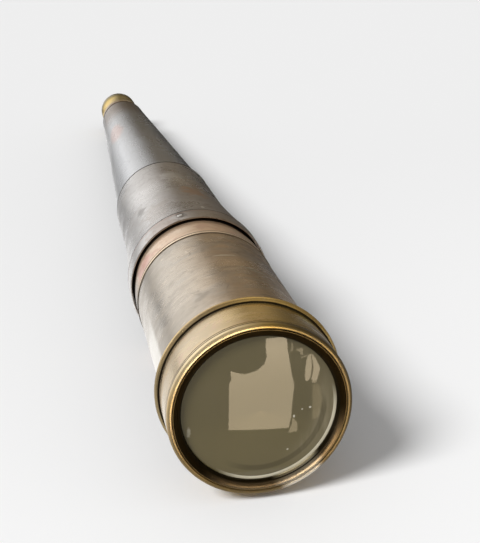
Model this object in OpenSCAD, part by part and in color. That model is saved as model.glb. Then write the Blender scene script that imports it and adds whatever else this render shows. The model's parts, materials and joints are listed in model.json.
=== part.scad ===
// One-draw spyglass, closed, lying along the Y axis with its objective towards -Y and +Z up.
// The origin is on the optical axis, in the plane of the bead's front shoulder.
// Stations are distances along the axis from the plane of the front lip towards the eye.

/* [Objective] */
// Radius of the lens that shows inside the cell's lip
clear_r = 28; // [27:0.5:30]
// Width of the ledge that the lens pair rests on
lens_seat = 1.5; // [0.8:0.1:2.5]
// Distance from the lip plane to the lens edge
lip_depth = 2.2; // [1.6:0.1:4.2]
// Wall of the cell round the lenses
cell_wall = 1.55; // [1:0.05:2.5]
// Thickness of the crown lens at its centre
crown_t = 7; // [6:0.5:9]
// Radius of curvature of the crown lens's front
crown_front_curve = 290; // [220:10:500]
// Radius of curvature of the crown lens's back
crown_back_curve = 260; // [220:10:500]
// Thickness of the flint lens at its centre
flint_t = 3.4; // [2.5:0.1:5.4]
// Thickness of the ring between the two lenses
spacer_t = 0.4; // [0.2:0.1:1]
// Width of the spacer ring's band
spacer_w = 0.8; // [0.5:0.1:1.4]
// Length of the slotted ring behind the lenses
retainer_l = 3; // [2:0.5:5]
// Width of the slotted ring's band
retainer_w = 1.3; // [1:0.1:2]
// Width of the two spanner slots in the retaining ring
retainer_slot = 1.6; // [1:0.1:2.5]

/* [Bezel and band] */
// Wall of the thin lip ring round the cell
bezel_wall = 2.1; // [1.5:0.1:3]
// Length of the thin lip ring
bezel_l = 2.4; // [2:0.1:4]
// Wall of the smooth band round the cell
band_wall = 2.1; // [1.6:0.1:3.5]
// Distance from the lip plane to the bead's front shoulder
band_l = 19.5; // [17.5:0.5:40]
// Width of the raised bead
bead_w = 3.1; // [2:0.1:6]
// Height of the raised bead above the band
bead_h = 1.7; // [0.8:0.1:3]
// Width of the turned line in the band
line_w = 0.35; // [0.2:0.05:0.6]
// Depth of the turned line in the band
line_h = 0.3; // [0.1:0.05:0.5]
// Distance from the bezel to the turned line
line_gap = 1; // [0.6:0.1:2]
// Length of the shoulder in the band between the cell and the tube
shoulder_l = 1.2; // [0.8:0.1:1.8]

/* [Objective tube] */
// Radius of the tube where it shows
tube_r = 31.25; // [30.5:0.05:32]
// Wall of the tube
tube_wall = 1; // [0.7:0.1:1.4]
// Length of tube that shows between the bead and the collar
tube_l = 84.9; // [50:0.1:150]
// Length of the tube's back end inside the collar
tube_seat_l = 4.6; // [3:0.1:6.5]
// How much the tube's seated ends are turned down
tube_seat_step = 0.2; // [0.1:0.05:0.3]
// Distance from the bead to the light stop in the tube
baffle_at = 45; // [20:1:60]
// Radius of the opening of the light stop in the tube
baffle_open_r = 26; // [22:0.5:28]
// Thickness of the light stops in the tube and in the bell
baffle_t = 1.2; // [0.8:0.1:1.6]
// Length of the light stops' rims
baffle_l = 4.8; // [3:0.1:8]

/* [Collar and mouth] */
// Height of the collar's front edge above the tube
collar_step = 0.35; // [0.2:0.05:0.8]
// Length of the collar in front of the bell's mouth
collar_l = 20.2; // [10:0.1:40]
// How much the collar's radius falls towards the mouth
collar_fall = 1.3; // [0.5:0.1:2]
// Share of the collar's length that falls slowly
collar_bend = 0.7; // [0.3:0.05:0.9]
// Share of the collar's fall over that length
collar_bend_fall = 0.35; // [0.1:0.05:0.6]
// Length of the collar's spigot inside the mouth
spigot_l = 22; // [16:0.5:30]
// Wall of the collar's spigot
spigot_wall = 1.4; // [1:0.1:2]
// Width of the dark gap between the collar and the mouth
mouth_gap = 1.5; // [1.3:0.1:3]
// Depth of the dark gap
mouth_depth = 5; // [3:0.5:7]
// Wall of the mouth's rim
mouth_wall = 0.8; // [0.6:0.1:1.5]
// Length of the rim band
mouth_l = 12; // [9:0.5:20]
// Length of the mouth ring's tail inside the bell
mouth_tail_l = 8; // [5:0.5:9]
// Number of screws through the rim band
mouth_screw_count = 3; // [2:1:6]
// Angle of the first screw from the top, towards -X
mouth_screw_angle = 14; // [0:1:120]
// Distance from the rim band's back edge to the screws
mouth_screw_back = 5; // [3:0.5:5.5]
// Radius of a rim band screw's head
mouth_screw_head_r = 1.3; // [0.8:0.1:1.8]
// How far a rim band screw's head stands above the band
mouth_screw_proud = 0.1; // [0.05:0.05:0.4]

/* [Bell] */
// How much lower the bell's front edge stands than the rim band
bell_step = 0.2; // [0.1:0.1:0.5]
// Radius of the bell where its flare ends
bell_waist_r = 28.2; // [27:0.1:30]
// Radius of the bell's back edge
bell_back_r = 27.7; // [26.5:0.1:28.5]
// Length of the bell
bell_l = 112.7; // [90:0.1:160]
// Length of the bell's flare
bell_flare_l = 66; // [50:1:80]
// Wall of the bell
bell_wall = 0.9; // [0.6:0.1:1.2]
// Distance from the bell's front edge to the light stop in it
bell_baffle_at = 72; // [68:1:85]
// Radius of the opening of the light stop in the bell
bell_baffle_open_r = 20; // [16:0.5:24]

/* [Taper] */
// Radius of the taper's front edge
taper_front_r = 26.6; // [25:0.1:27.4]
// Radius of the taper's small end
taper_back_r = 16.6; // [16:0.1:19]
// Length of the taper
taper_l = 250; // [200:1:320]
// Wall of the taper
taper_wall = 0.9; // [0.6:0.1:1.1]
// Width of the joint line between the bell and the taper
joint_gap = 0.4; // [0.2:0.1:1]
// Length of the inner joint ring on each side of the joint line
joint_ring_l = 9; // [5:0.5:15]
// Wall of the inner joint ring
joint_ring_wall = 1.2; // [0.8:0.1:2]

/* [Draw] */
// Radius of the draw tube
draw_r = 12.4; // [10:0.1:12.8]
// Wall of the draw tube
draw_wall = 0.8; // [0.5:0.1:1]
// Height of the stop ring above the draw tube
stop_h = 1.4; // [1.2:0.1:1.6]
// Length of the stop ring
stop_l = 6; // [4:0.5:10]
// Wall of the guide tube
guide_wall = 0.8; // [0.5:0.1:0.9]
// Length of the guide tube
guide_l = 170; // [120:1:190]
// Distance from the guide tube's front to its bulkhead
bulkhead_at = 4; // [2:0.5:12]
// Thickness of the guide tube's bulkhead
bulkhead_t = 3; // [2:0.5:6]
// Radius of the holes that lighten the bulkhead
bulkhead_hole_r = 2.2; // [1:0.1:2.4]
// Number of the holes that lighten the bulkhead
bulkhead_holes = 6; // [3:1:8]

/* [Draw ferrule] */
// Length of the ferrule behind the taper
ferrule_l = 13.7; // [10:0.1:25]
// Radius of the ferrule's front edge
ferrule_front_r = 16.8; // [16.2:0.1:19]
// Radius of the ferrule's back edge
ferrule_back_r = 15.6; // [15:0.1:16]
// Length of the ferrule's spigot inside the taper
ferrule_spigot_l = 13; // [9:0.5:20]
// Length of the ferrule's nose inside the guide tube
ferrule_nose_l = 8; // [5:0.5:12]
// Wall of the sprung liner that the draw rubs in
liner_wall = 0.7; // [0.5:0.1:0.9]
// Width of the liner's slit
liner_slit = 0.8; // [0.5:0.1:1.5]
// Distance from the ferrule's back to the liner
liner_inset = 2; // [1.6:0.1:4]
// Number of screws that hold the ferrule
ferrule_screw_count = 3; // [2:1:4]
// Radius of a ferrule screw's head
ferrule_screw_head_r = 1.3; // [0.8:0.1:1.6]
// Length of a ferrule screw's shank
ferrule_screw_l = 2; // [1:0.1:2.2]

/* [Erector] */
// Wall of the erector tube
erector_wall = 0.7; // [0.5:0.1:1]
// Length of the erector tube
erector_l = 96; // [70:1:110]
// Distance from the draw tube's front to the erector tube
erector_at = 4; // [2:1:10]
// Width of the ledge that an erecting lens rests on
erector_seat = 1; // [0.6:0.1:1.4]
// Thickness of the ledge in front of an erecting lens
erector_lip = 1.5; // [1:0.1:2]
// Clear radius of the erecting lenses
erector_clear_r = 8; // [6:0.5:8.5]
// Thickness of an erecting lens at its centre
erector_lens_t = 5; // [4:0.5:6]
// Radius of curvature of the erecting lenses' fronts
erector_curve = 32; // [28:1:60]
// Radius of curvature of the erecting lenses' backs
erector_back_curve = 128; // [90:1:400]
// Length of each erecting lens cell
erector_cell_l = 8; // [6:0.5:12]
// Distance from the erector tube's front to its small aperture
erector_stop_at = 38; // [24:1:56]
// Radius of the small aperture
erector_stop_r = 3; // [1:0.5:5]
// Thickness of the small aperture's plate and rim
erector_stop_t = 1; // [0.6:0.1:1.4]
// Length of the small aperture's rim
erector_stop_l = 4; // [2:0.5:6]

/* [Eyepiece] */
// Wall of the eyepiece tube
eyepiece_wall = 0.7; // [0.5:0.1:1]
// Length of the eyepiece tube
eyepiece_l = 56; // [46:1:64]
// Distance from the eyepiece tube's front to the field lens
field_lens_inset = 2; // [1:0.5:4]
// Thickness of the field lens at its centre
field_lens_t = 4.5; // [3.5:0.5:6]
// Radius of curvature of the field lens
field_curve = 34; // [26:1:60]
// Thickness of the ring behind the field lens
field_ring_t = 2; // [1:0.5:4]
// Width of the ring behind the field lens
field_ring_w = 1.2; // [0.8:0.1:2]
// Distance from the eyepiece tube's front to the field stop
field_stop_at = 30; // [16:1:34]
// Radius of the field stop's opening
field_stop_r = 7; // [4:0.5:8]
// Thickness of the field stop
field_stop_t = 1.2; // [0.6:0.1:2]
// Clear radius of the eye lens
eye_clear_r = 5.5; // [4:0.5:7]
// Width of the ledge that the eye lens rests on
eye_seat = 0.8; // [0.5:0.1:1.2]
// Thickness of the eye lens at its centre
eye_lens_t = 3.5; // [2.5:0.5:4]
// Radius of curvature of the eye lens
eye_curve = 20; // [16:1:40]
// Length of the eye lens cell
eye_cell_l = 8; // [7:0.5:12]
// Distance from the eye lens cell's front to the eye lens
eye_lens_inset = 2; // [1:0.1:2.4]

/* [Eye cup] */
// Wall of the eye cup's neck round the draw tube
neck_wall = 0.6; // [0.4:0.1:1.2]
// Length of the eye cup's straight neck
neck_l = 14; // [8:0.5:22]
// Length of the eye cup's flare
cup_flare_l = 15; // [10:0.5:22]
// Length of the eye cup's rim
cup_rim_l = 5.7; // [5.5:0.1:10]
// Radius of the eye cup's rim
cup_r = 14.6; // [14.4:0.1:17]
// Depth of the dished face of the eye cup
dish_depth = 2.4; // [2.2:0.1:3]
// Wall of the rim round the dish
dish_wall = 0.9; // [0.9:0.1:1.3]
// Thickness of the floor of the dish
dish_floor = 3; // [2.4:0.1:5]
// Radius of the eye hole
eye_hole_r = 3.2; // [2:0.1:3.3]

/* [Dust shutter] */
// Radius of the shutter's disc
shutter_r = 4.9; // [4.5:0.1:5]
// Thickness of the shutter
shutter_t = 0.8; // [0.5:0.1:0.9]
// Distance from the eye hole to the shutter's pivot
pivot_up = 7.6; // [7.5:0.1:8.2]
// Half of the width of the shutter's arm
arm_half = 1.6; // [1.4:0.1:1.7]
// Radius of the shutter's boss round the pivot
boss_r = 2.4; // [1.8:0.1:2.4]
// Radius of the pivot screw's shank
pivot_r = 0.9; // [0.6:0.05:1.1]
// Radius of the pivot screw's head
pivot_head_r = 1.7; // [1.4:0.1:2.2]
// Height of the pivot screw's head
pivot_head_h = 0.7; // [0.4:0.1:0.8]
// Radius of a stop pin
pin_r = 0.6; // [0.4:0.05:0.6]
// Radius of the shutter's knob
knob_r = 0.9; // [0.6:0.1:1.4]
// Height of the shutter's knob
knob_h = 1.2; // [0.6:0.1:1.2]
// Distance from the eye hole's centre down to the knob
knob_down = 2; // [0:0.1:3]

/* [Fits] */
// Running clearance on a radius between moving pieces
running_fit = 0.05; // [0.03:0.01:0.1]
// Clearance on a radius between the lenses and their cell
lens_fit = 0.05; // [0.03:0.01:0.2]
// Clearance on a radius between the bell and the light stop in it
seat_fit = 0.1; // [0.05:0.05:0.2]
// Air gap between moving faces at rest
face_gap = 0.3; // [0.2:0.05:0.5]
// Gap under and over the shutter
shutter_gap = 0.1; // [0.05:0.05:0.2]

/* [Hidden] */
$fn = 96;
lens_fn = 360;
cut = 1;

// Colours
polished_brass = [0.80, 0.64, 0.33];
dull_brass = [0.62, 0.50, 0.31];
brown_brass = [0.50, 0.42, 0.34];
pink_brass = [0.56, 0.44, 0.37];
silver_grey = [0.58, 0.56, 0.54];
gunmetal = [0.36, 0.36, 0.38];
blackened = [0.09, 0.08, 0.07];
steel = [0.55, 0.55, 0.56];
glass_tint = [0.60, 0.62, 0.55, 0.5];

// Stations and radii of the objective end
lens_r = clear_r + lens_seat;
cell_bore_r = lens_r + lens_fit;
cell_r = cell_bore_r + cell_wall;
bezel_r = cell_r + bezel_wall;
band_r = cell_r + band_wall;
edge_round = 0.8;
edge_small = 0.3;
ledge_back = lip_depth + edge_small;
crown_vertex = ledge_back - sag(crown_front_curve, clear_r);
crown_back = crown_vertex + crown_t;
crown_edge_back = crown_back - sag(crown_back_curve, lens_r);
spacer_r = lens_r - spacer_w;
spacer_front = crown_back - sag(crown_back_curve, spacer_r);
flint_edge_front = spacer_front + spacer_t;
flint_back = flint_edge_front + sag(crown_back_curve, lens_r) + flint_t;
retainer_back = flint_back + retainer_l;
retainer_r = lens_r - retainer_w;
cell_back = retainer_back + edge_small;
bead_back = band_l + bead_w;
bead_turn = 75;
bead_steps = 10;
band_shoulder_r = min(cell_r, tube_r - tube_seat_step) - edge_round;

// Stations and radii of the objective tube and collar
tube_seat_r = tube_r - tube_seat_step;
tube_inner_r = tube_r - tube_wall;
tube_front = cell_back + shoulder_l;
collar_front = bead_back + tube_l;
tube_back = collar_front + tube_seat_l;
collar_r = tube_r + collar_step;
spigot_r = collar_r - collar_fall;
collar_back = collar_front + collar_l;
spigot_back = collar_back + spigot_l;
baffle_station = bead_back + baffle_at;

// Stations and radii of the mouth and bell
mouth_front = collar_back + edge_small;
mouth_inner_r = spigot_r + mouth_gap;
mouth_r = mouth_inner_r + mouth_wall;
mouth_floor = mouth_front + mouth_depth;
mouth_back = mouth_front + mouth_l;
mouth_screw_station = mouth_back - mouth_screw_back;
screw_waist = 0.6;
mouth_screw_head_h = (mouth_r - spigot_r) / 2;
mouth_screw_foot = spigot_r - spigot_wall / 2;
bell_front = mouth_back + edge_small;
bell_front_r = mouth_r - bell_step;
bell_back = bell_front + bell_l;
bell_power = 1.5;
bell_steps = 12;
bell_baffle_station = bell_front + bell_baffle_at;

// Stations and radii of the taper
taper_front = bell_back + joint_gap;
taper_back = taper_front + taper_l;

// Stations and radii of the draw and its guide
guide_r = draw_r + stop_h + running_fit;
guide_outer_r = guide_r + guide_wall;
guide_back = taper_back - ferrule_spigot_l;
guide_front = guide_back - guide_l;
bulkhead_front = guide_front + bulkhead_at;
nose_front = guide_back - ferrule_nose_l;
ferrule_back = taper_back + edge_small + ferrule_l;
liner_bore_r = draw_r + running_fit;
liner_r = liner_bore_r + liner_wall;
liner_back = ferrule_back - liner_inset;
draw_front = guide_front;
draw_inner_r = draw_r - draw_wall;
ferrule_screw_station = taper_back - ferrule_spigot_l / 2;

// Stations and radii of the eye cup
neck_r = draw_r + neck_wall;
cup_front = ferrule_back + face_gap;
cup_flare_front = cup_front + neck_l;
cup_rim_front = cup_flare_front + cup_flare_l;
cup_back = cup_rim_front + cup_rim_l;
dish_station = cup_back - dish_depth;
draw_back = dish_station - dish_floor;
dish_r = cup_r - dish_wall;
flare_steps = 8;

// Stations and radii of the erector
erector_r = draw_inner_r;
erector_bore_r = erector_r - erector_wall;
erector_front = draw_front + erector_at;
erector_back = erector_front + erector_l;
erector_lens_r = erector_clear_r + erector_seat;

// Stations and radii of the eyepiece
eyepiece_r = draw_inner_r;
eyepiece_bore_r = eyepiece_r - eyepiece_wall;
eyepiece_front = draw_back - eyepiece_l;
field_lens_front = eyepiece_front + field_lens_inset;
field_lens_back = field_lens_front + field_lens_t;
eye_cell_front = draw_back - eye_cell_l;
eye_lens_r = eye_clear_r + eye_seat;
eye_lens_front = eye_cell_front + eye_lens_inset;

// The shutter and its stops
shutter_front = dish_station + shutter_gap;
shutter_back = shutter_front + shutter_t;
shutter_clear = 0.15;
swing = 2 * asin((shutter_r + eye_hole_r + shutter_clear) / (2 * pivot_up));
pin_aside = arm_half + pin_r + running_fit;
pin_along = sqrt(pow(boss_r + pin_r + shutter_clear, 2) - pow(pin_aside, 2));
pin_sunk = 1.5;

function sag(curve, r) = curve - sqrt(curve * curve - r * r);
function taper_at(s) = taper_front_r + (taper_back_r - taper_front_r) * (s - taper_front) / taper_l;
function bell_at(s) = let (d = s - bell_front)
    d < bell_flare_l
        ? bell_waist_r + (bell_front_r - bell_waist_r) * pow(1 - d / bell_flare_l, bell_power)
        : bell_waist_r + (bell_back_r - bell_waist_r) * (d - bell_flare_l) / (bell_l - bell_flare_l);
function arc(r, s, radius, from, to, steps) = [for (i = [0:steps])
    let (a = from + (to - from) * i / steps) [r + radius * cos(a), s + radius * sin(a)]];

// Lays what is drawn along +Z, from the lip plane up, along the optical axis
module lay() {
    translate([0, -band_l, 0]) rotate([-90, 0, 0]) children();
}

// A turned piece from its outline, given as radius and station
module turned(outline) {
    lay() rotate_extrude() polygon(outline);
}

// A plain ring or tube
module tube(inner, outer, from, to) {
    turned([[inner, from], [outer, from], [outer, to], [inner, to]]);
}

// A lens with spherical faces: front_curve bulges towards the front, back_curve towards the back
module lens(radius, front, thickness, front_curve, back_curve) {
    intersection() {
        translate([0, 0, front - cut]) cylinder(r = radius, h = thickness + 2 * cut);
        translate([0, 0, front + front_curve]) sphere(r = front_curve, $fn = lens_fn);
        translate([0, 0, front + thickness - back_curve]) sphere(r = back_curve, $fn = lens_fn);
    }
}

// A round hole or peg above the axis that points away from it
module radial(station, radius, from, to) {
    translate([0, -from, station]) rotate([90, 0, 0])
        cylinder(r = radius, h = to - from);
}

module objective_bezel() {
    color(polished_brass) turned(concat(
        [[cell_r, edge_small]],
        [[cell_r + edge_small, 0]],
        arc(bezel_r - edge_round, edge_round, edge_round, -90, 0, 5),
        [[bezel_r, bezel_l], [cell_r, bezel_l]]
    ));
}

module objective_cell() {
    color(blackened) turned([
        [clear_r, lip_depth], [cell_r - edge_small, 0], [cell_r, edge_small], [cell_r, cell_back],
        [cell_bore_r, cell_back], [cell_bore_r, ledge_back], [clear_r, ledge_back]
    ]);
}

module crown_lens() {
    color(glass_tint) lay()
        lens(lens_r, crown_vertex, crown_t, crown_front_curve, crown_back_curve);
}

module lens_spacer() {
    color(steel) lay() difference() {
        translate([0, 0, crown_edge_back]) cylinder(r = lens_r, h = flint_edge_front - crown_edge_back);
        translate([0, 0, crown_edge_back - cut]) cylinder(r = spacer_r, h = flint_edge_front);
        translate([0, 0, crown_back - crown_back_curve]) sphere(r = crown_back_curve, $fn = lens_fn);
    }
}

module flint_lens() {
    color(glass_tint) lay() difference() {
        translate([0, 0, flint_edge_front]) cylinder(r = lens_r, h = flint_back - flint_edge_front);
        translate([0, 0, flint_back - flint_t - crown_back_curve]) sphere(r = crown_back_curve, $fn = lens_fn);
    }
}

module lens_retaining_ring() {
    color(blackened) lay() difference() {
        translate([0, 0, flint_back]) cylinder(r = cell_bore_r, h = retainer_l);
        translate([0, 0, flint_back - cut]) cylinder(r = retainer_r, h = retainer_l + 2 * cut);
        translate([-cell_bore_r - cut, -retainer_slot / 2, retainer_back - retainer_l / 2])
            cube([2 * cell_bore_r + 2 * cut, retainer_slot, retainer_l]);
    }
}

module front_band() {
    color(polished_brass) turned([
        [cell_r, bezel_l], [band_r - edge_small, bezel_l], [band_r, bezel_l + edge_small],
        [band_r, bezel_l + line_gap], [band_r - line_h, bezel_l + line_gap + line_w / 2],
        [band_r, bezel_l + line_gap + line_w], [band_r, band_l], [tube_seat_r, band_l],
        [tube_seat_r, tube_front], [band_shoulder_r, tube_front], [band_shoulder_r, cell_back],
        [cell_r, cell_back]
    ]);
}

module bead_ring() {
    bead_mid = band_l + bead_w / 2;
    color(polished_brass) turned(concat(
        [[tube_seat_r, band_l]],
        [for (i = [0:bead_steps]) let (a = bead_turn * (2 * i / bead_steps - 1))
            [band_r + bead_h * cos(a), bead_mid + bead_w / 2 * sin(a) / sin(bead_turn)]],
        [[tube_seat_r, bead_back]]
    ));
}

module objective_tube() {
    color(brown_brass) turned([
        [tube_inner_r, tube_front], [tube_seat_r, tube_front], [tube_seat_r, bead_back],
        [tube_r, bead_back], [tube_r, collar_front], [tube_seat_r, collar_front],
        [tube_seat_r, tube_back], [tube_inner_r, tube_back]
    ]);
}

module objective_baffle() {
    color(blackened) turned([
        [baffle_open_r, baffle_station], [tube_inner_r, baffle_station],
        [tube_inner_r, baffle_station + baffle_l],
        [tube_inner_r - baffle_t, baffle_station + baffle_l],
        [tube_inner_r - baffle_t, baffle_station + baffle_t],
        [baffle_open_r, baffle_station + baffle_t]
    ]);
}

module tube_collar() {
    bend_r = collar_r - collar_fall * collar_bend_fall;
    bend = collar_front + collar_l * collar_bend;
    color(pink_brass) difference() {
        turned([
            [tube_seat_r, collar_front], [collar_r - edge_small, collar_front],
            [collar_r, collar_front + edge_small], [bend_r, bend], [spigot_r, collar_back],
            [spigot_r, spigot_back], [spigot_r - spigot_wall, spigot_back],
            [spigot_r - spigot_wall, tube_back], [tube_seat_r, tube_back]
        ]);
        lay() at_mouth_screws() mouth_screw();
    }
}

module mouth_ring() {
    tail_r = bell_at(mouth_back + mouth_tail_l) - bell_wall;
    color(silver_grey) difference() {
        turned(concat(
            [[mouth_inner_r, mouth_floor]],
            arc(mouth_inner_r + mouth_wall / 2, mouth_front + mouth_wall / 2, mouth_wall / 2, 180, 360, 6),
            [[mouth_r, mouth_back], [tail_r, mouth_back], [tail_r, mouth_back + mouth_tail_l]],
            [[spigot_r, mouth_back + mouth_tail_l], [spigot_r, mouth_floor]]
        ));
        lay() at_mouth_screws() mouth_screw();
    }
}

module at_mouth_screws() {
    for (i = [0:mouth_screw_count - 1])
        rotate([0, 0, -mouth_screw_angle + i * 360 / mouth_screw_count]) children();
}

module mouth_screw() {
    shank_r = mouth_screw_head_r * screw_waist;
    head_foot = mouth_r - mouth_screw_head_h;
    radial(mouth_screw_station, shank_r, mouth_screw_foot, head_foot);
    radial(mouth_screw_station, mouth_screw_head_r, head_foot, mouth_r + mouth_screw_proud);
}

module mouth_screws() {
    color(steel) lay() at_mouth_screws() mouth_screw();
}

module barrel_bell() {
    last = mouth_back + mouth_tail_l;
    tail_r = bell_at(last) - bell_wall;
    flare = [for (i = [0:bell_steps]) bell_front + bell_flare_l * i / bell_steps];
    color(silver_grey) turned(concat(
        [[tail_r, bell_front]],
        [for (s = flare) [bell_at(s), s]],
        [[bell_back_r, bell_back], [bell_back_r - bell_wall, bell_back]],
        [for (i = [bell_steps:-1:0]) if (flare[i] > last) [bell_at(flare[i]) - bell_wall, flare[i]]],
        [[tail_r, last]]
    ));
}

module bell_baffle() {
    outer = bell_at(bell_baffle_station) - bell_wall - seat_fit;
    outer_back = bell_at(bell_baffle_station + baffle_l) - bell_wall - seat_fit;
    color(blackened) turned([
        [bell_baffle_open_r, bell_baffle_station], [outer, bell_baffle_station],
        [outer_back, bell_baffle_station + baffle_l],
        [outer_back - baffle_t, bell_baffle_station + baffle_l],
        [outer_back - baffle_t, bell_baffle_station + baffle_t],
        [bell_baffle_open_r, bell_baffle_station + baffle_t]
    ]);
}

module cone_joint_ring() {
    front = bell_back - joint_ring_l;
    back = taper_front + joint_ring_l;
    inner = taper_at(back) - taper_wall - joint_ring_wall;
    color(dull_brass) turned([
        [inner, front], [bell_at(front) - bell_wall, front], [bell_back_r - bell_wall, bell_back],
        [taper_front_r - taper_wall, bell_back], [taper_front_r - taper_wall, taper_front],
        [taper_at(back) - taper_wall, back], [inner, back]
    ]);
}

module cone_barrel() {
    color(gunmetal) difference() {
        turned([
            [taper_front_r - taper_wall, taper_front], [taper_front_r - edge_small, taper_front],
            [taper_at(taper_front + edge_small), taper_front + edge_small],
            [taper_back_r, taper_back], [taper_back_r - taper_wall, taper_back]
        ]);
        lay() at_ferrule_screws() ferrule_screw(cut);
    }
}

module guide_bulkhead() {
    back = bulkhead_front + bulkhead_t;
    outer = taper_at(bulkhead_front) - taper_wall;
    outer_back = taper_at(back) - taper_wall;
    ring_r = (guide_outer_r + outer_back) / 2;
    color(dull_brass) difference() {
        turned([
            [guide_outer_r, bulkhead_front], [outer, bulkhead_front], [outer_back, back], [guide_outer_r, back]
        ]);
        lay() for (i = [0:bulkhead_holes - 1]) rotate([0, 0, i * 360 / bulkhead_holes])
            translate([ring_r, 0, bulkhead_front - cut])
                cylinder(r = bulkhead_hole_r, h = bulkhead_t + 2 * cut);
    }
}

module guide_tube() {
    color(dull_brass) tube(guide_r, guide_outer_r, guide_front, guide_back);
}

module draw_collar() {
    spigot_front_r = taper_at(guide_back) - taper_wall;
    spigot_back_r = taper_back_r - taper_wall;
    color(polished_brass) difference() {
        turned([
            [liner_r, nose_front], [guide_r, nose_front], [guide_r, guide_back],
            [spigot_front_r, guide_back], [spigot_back_r, taper_back],
            [spigot_back_r, taper_back + edge_small], [ferrule_front_r - edge_small, taper_back + edge_small],
            [ferrule_front_r, taper_back + 2 * edge_small],
            [ferrule_back_r, ferrule_back - 2 * edge_round], [ferrule_back_r - edge_round, ferrule_back],
            [liner_bore_r + edge_small, ferrule_back], [liner_bore_r + edge_small, liner_back], [liner_r, liner_back]
        ]);
        lay() at_ferrule_screws() ferrule_screw(cut);
    }
}

module at_ferrule_screws() {
    for (i = [0:ferrule_screw_count - 1]) rotate([0, 0, 180 + i * 360 / ferrule_screw_count]) children();
}

// A screw flush with the taper, or the hole for it where above is the height cut over its head
module ferrule_screw(above) {
    top = taper_at(ferrule_screw_station + ferrule_screw_head_r);
    head_foot = top - taper_wall / 2;
    radial(ferrule_screw_station, ferrule_screw_head_r * screw_waist, head_foot - ferrule_screw_l, head_foot);
    radial(ferrule_screw_station, ferrule_screw_head_r, head_foot, top + above);
}

module collar_screws() {
    color(steel) lay() at_ferrule_screws() ferrule_screw(0);
}

module guide_liner() {
    color(dull_brass) difference() {
        tube(liner_bore_r, liner_r, nose_front, liner_back);
        lay() translate([0, -liner_slit / 2, nose_front - cut])
            cube([liner_r + cut, liner_slit, liner_back]);
    }
}

module draw_tube() {
    color(polished_brass) tube(draw_inner_r, draw_r, draw_front, draw_back);
}

module draw_stop_ring() {
    color(dull_brass) tube(draw_r, draw_r + stop_h, draw_front, draw_front + stop_l);
}

module erector_tube() {
    color(dull_brass) tube(erector_bore_r, erector_r, erector_front, erector_back);
}

// A cell that holds an erecting lens, and the lens's front station in it
module erector_cell(front) {
    color(blackened) turned([
        [erector_clear_r, front], [erector_bore_r, front], [erector_bore_r, front + erector_cell_l],
        [erector_lens_r, front + erector_cell_l], [erector_lens_r, front + erector_lip],
        [erector_clear_r, front + erector_lip]
    ]);
}

module erector_lens(front) {
    seat = front + erector_lip - sag(erector_curve, erector_clear_r);
    color(glass_tint) lay() lens(erector_lens_r, seat, erector_lens_t, erector_curve, erector_back_curve);
}

module erector_front_cell() {
    erector_cell(erector_front);
}

module erector_front_lens() {
    erector_lens(erector_front);
}

module erector_stop() {
    station = erector_front + erector_stop_at;
    color(blackened) turned([
        [erector_stop_r, station], [erector_bore_r, station], [erector_bore_r, station + erector_stop_l],
        [erector_bore_r - erector_stop_t, station + erector_stop_l],
        [erector_bore_r - erector_stop_t, station + erector_stop_t], [erector_stop_r, station + erector_stop_t]
    ]);
}

module erector_rear_cell() {
    erector_cell(erector_back - erector_cell_l);
}

module erector_rear_lens() {
    erector_lens(erector_back - erector_cell_l);
}

module eyepiece_tube() {
    color(dull_brass) tube(eyepiece_bore_r, eyepiece_r, eyepiece_front, draw_back);
}

module field_lens() {
    color(glass_tint) lay() intersection() {
        translate([0, 0, field_lens_front]) cylinder(r = eyepiece_bore_r, h = field_lens_t);
        translate([0, 0, field_lens_front + field_curve]) sphere(r = field_curve, $fn = lens_fn);
    }
}

module field_lens_ring() {
    color(blackened) tube(eyepiece_bore_r - field_ring_w, eyepiece_bore_r,
        field_lens_back, field_lens_back + field_ring_t);
}

module field_stop() {
    station = eyepiece_front + field_stop_at;
    color(blackened) tube(field_stop_r, eyepiece_bore_r, station, station + field_stop_t);
}

module eye_lens() {
    color(glass_tint) lay() intersection() {
        translate([0, 0, eye_lens_front]) cylinder(r = eye_lens_r, h = eye_lens_t);
        translate([0, 0, eye_lens_front + eye_curve]) sphere(r = eye_curve, $fn = lens_fn);
    }
}

module eye_lens_cell() {
    lens_back = eye_lens_front + eye_lens_t;
    color(blackened) turned([
        [eye_lens_r, eye_cell_front], [eyepiece_bore_r, eye_cell_front], [eyepiece_bore_r, draw_back],
        [eye_clear_r, draw_back], [eye_clear_r, lens_back], [eye_lens_r, lens_back]
    ]);
}

module eye_cup() {
    color(polished_brass) difference() {
        turned(concat(
            [[draw_r, cup_front], [neck_r - edge_small, cup_front], [neck_r, cup_front + edge_small]],
            [for (i = [0:flare_steps]) let (t = i / flare_steps)
                [neck_r + (cup_r - neck_r) * t * t, cup_flare_front + cup_flare_l * t]],
            arc(cup_r - edge_round, cup_back - edge_round, edge_round, 0, 90, 5),
            [[dish_r, cup_back], [dish_r, dish_station], [eye_hole_r, dish_station]],
            [[eye_hole_r, draw_back], [draw_r, draw_back]]
        ));
        lay() pivot_shank();
        lay() stop_pins();
    }
}

// The pivot stands above the eye hole, and the shutter swings about it towards +X
module at_pivot() {
    translate([0, -pivot_up, 0]) children();
}

module pivot_shank() {
    at_pivot() translate([0, 0, dish_station - pin_sunk])
        cylinder(r = pivot_r, h = pin_sunk + shutter_t + 2 * shutter_gap);
}

module shutter_pivot() {
    head = shutter_back + shutter_gap;
    color(steel) lay() difference() {
        union() {
            pivot_shank();
            at_pivot() translate([0, 0, head]) cylinder(r = pivot_head_r, h = pivot_head_h);
        }
        at_pivot() translate([-pivot_head_r - cut, -edge_small / 2, head + pivot_head_h / 2])
            cube([2 * pivot_head_r + 2 * cut, edge_small, pivot_head_h]);
    }
}

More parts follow.
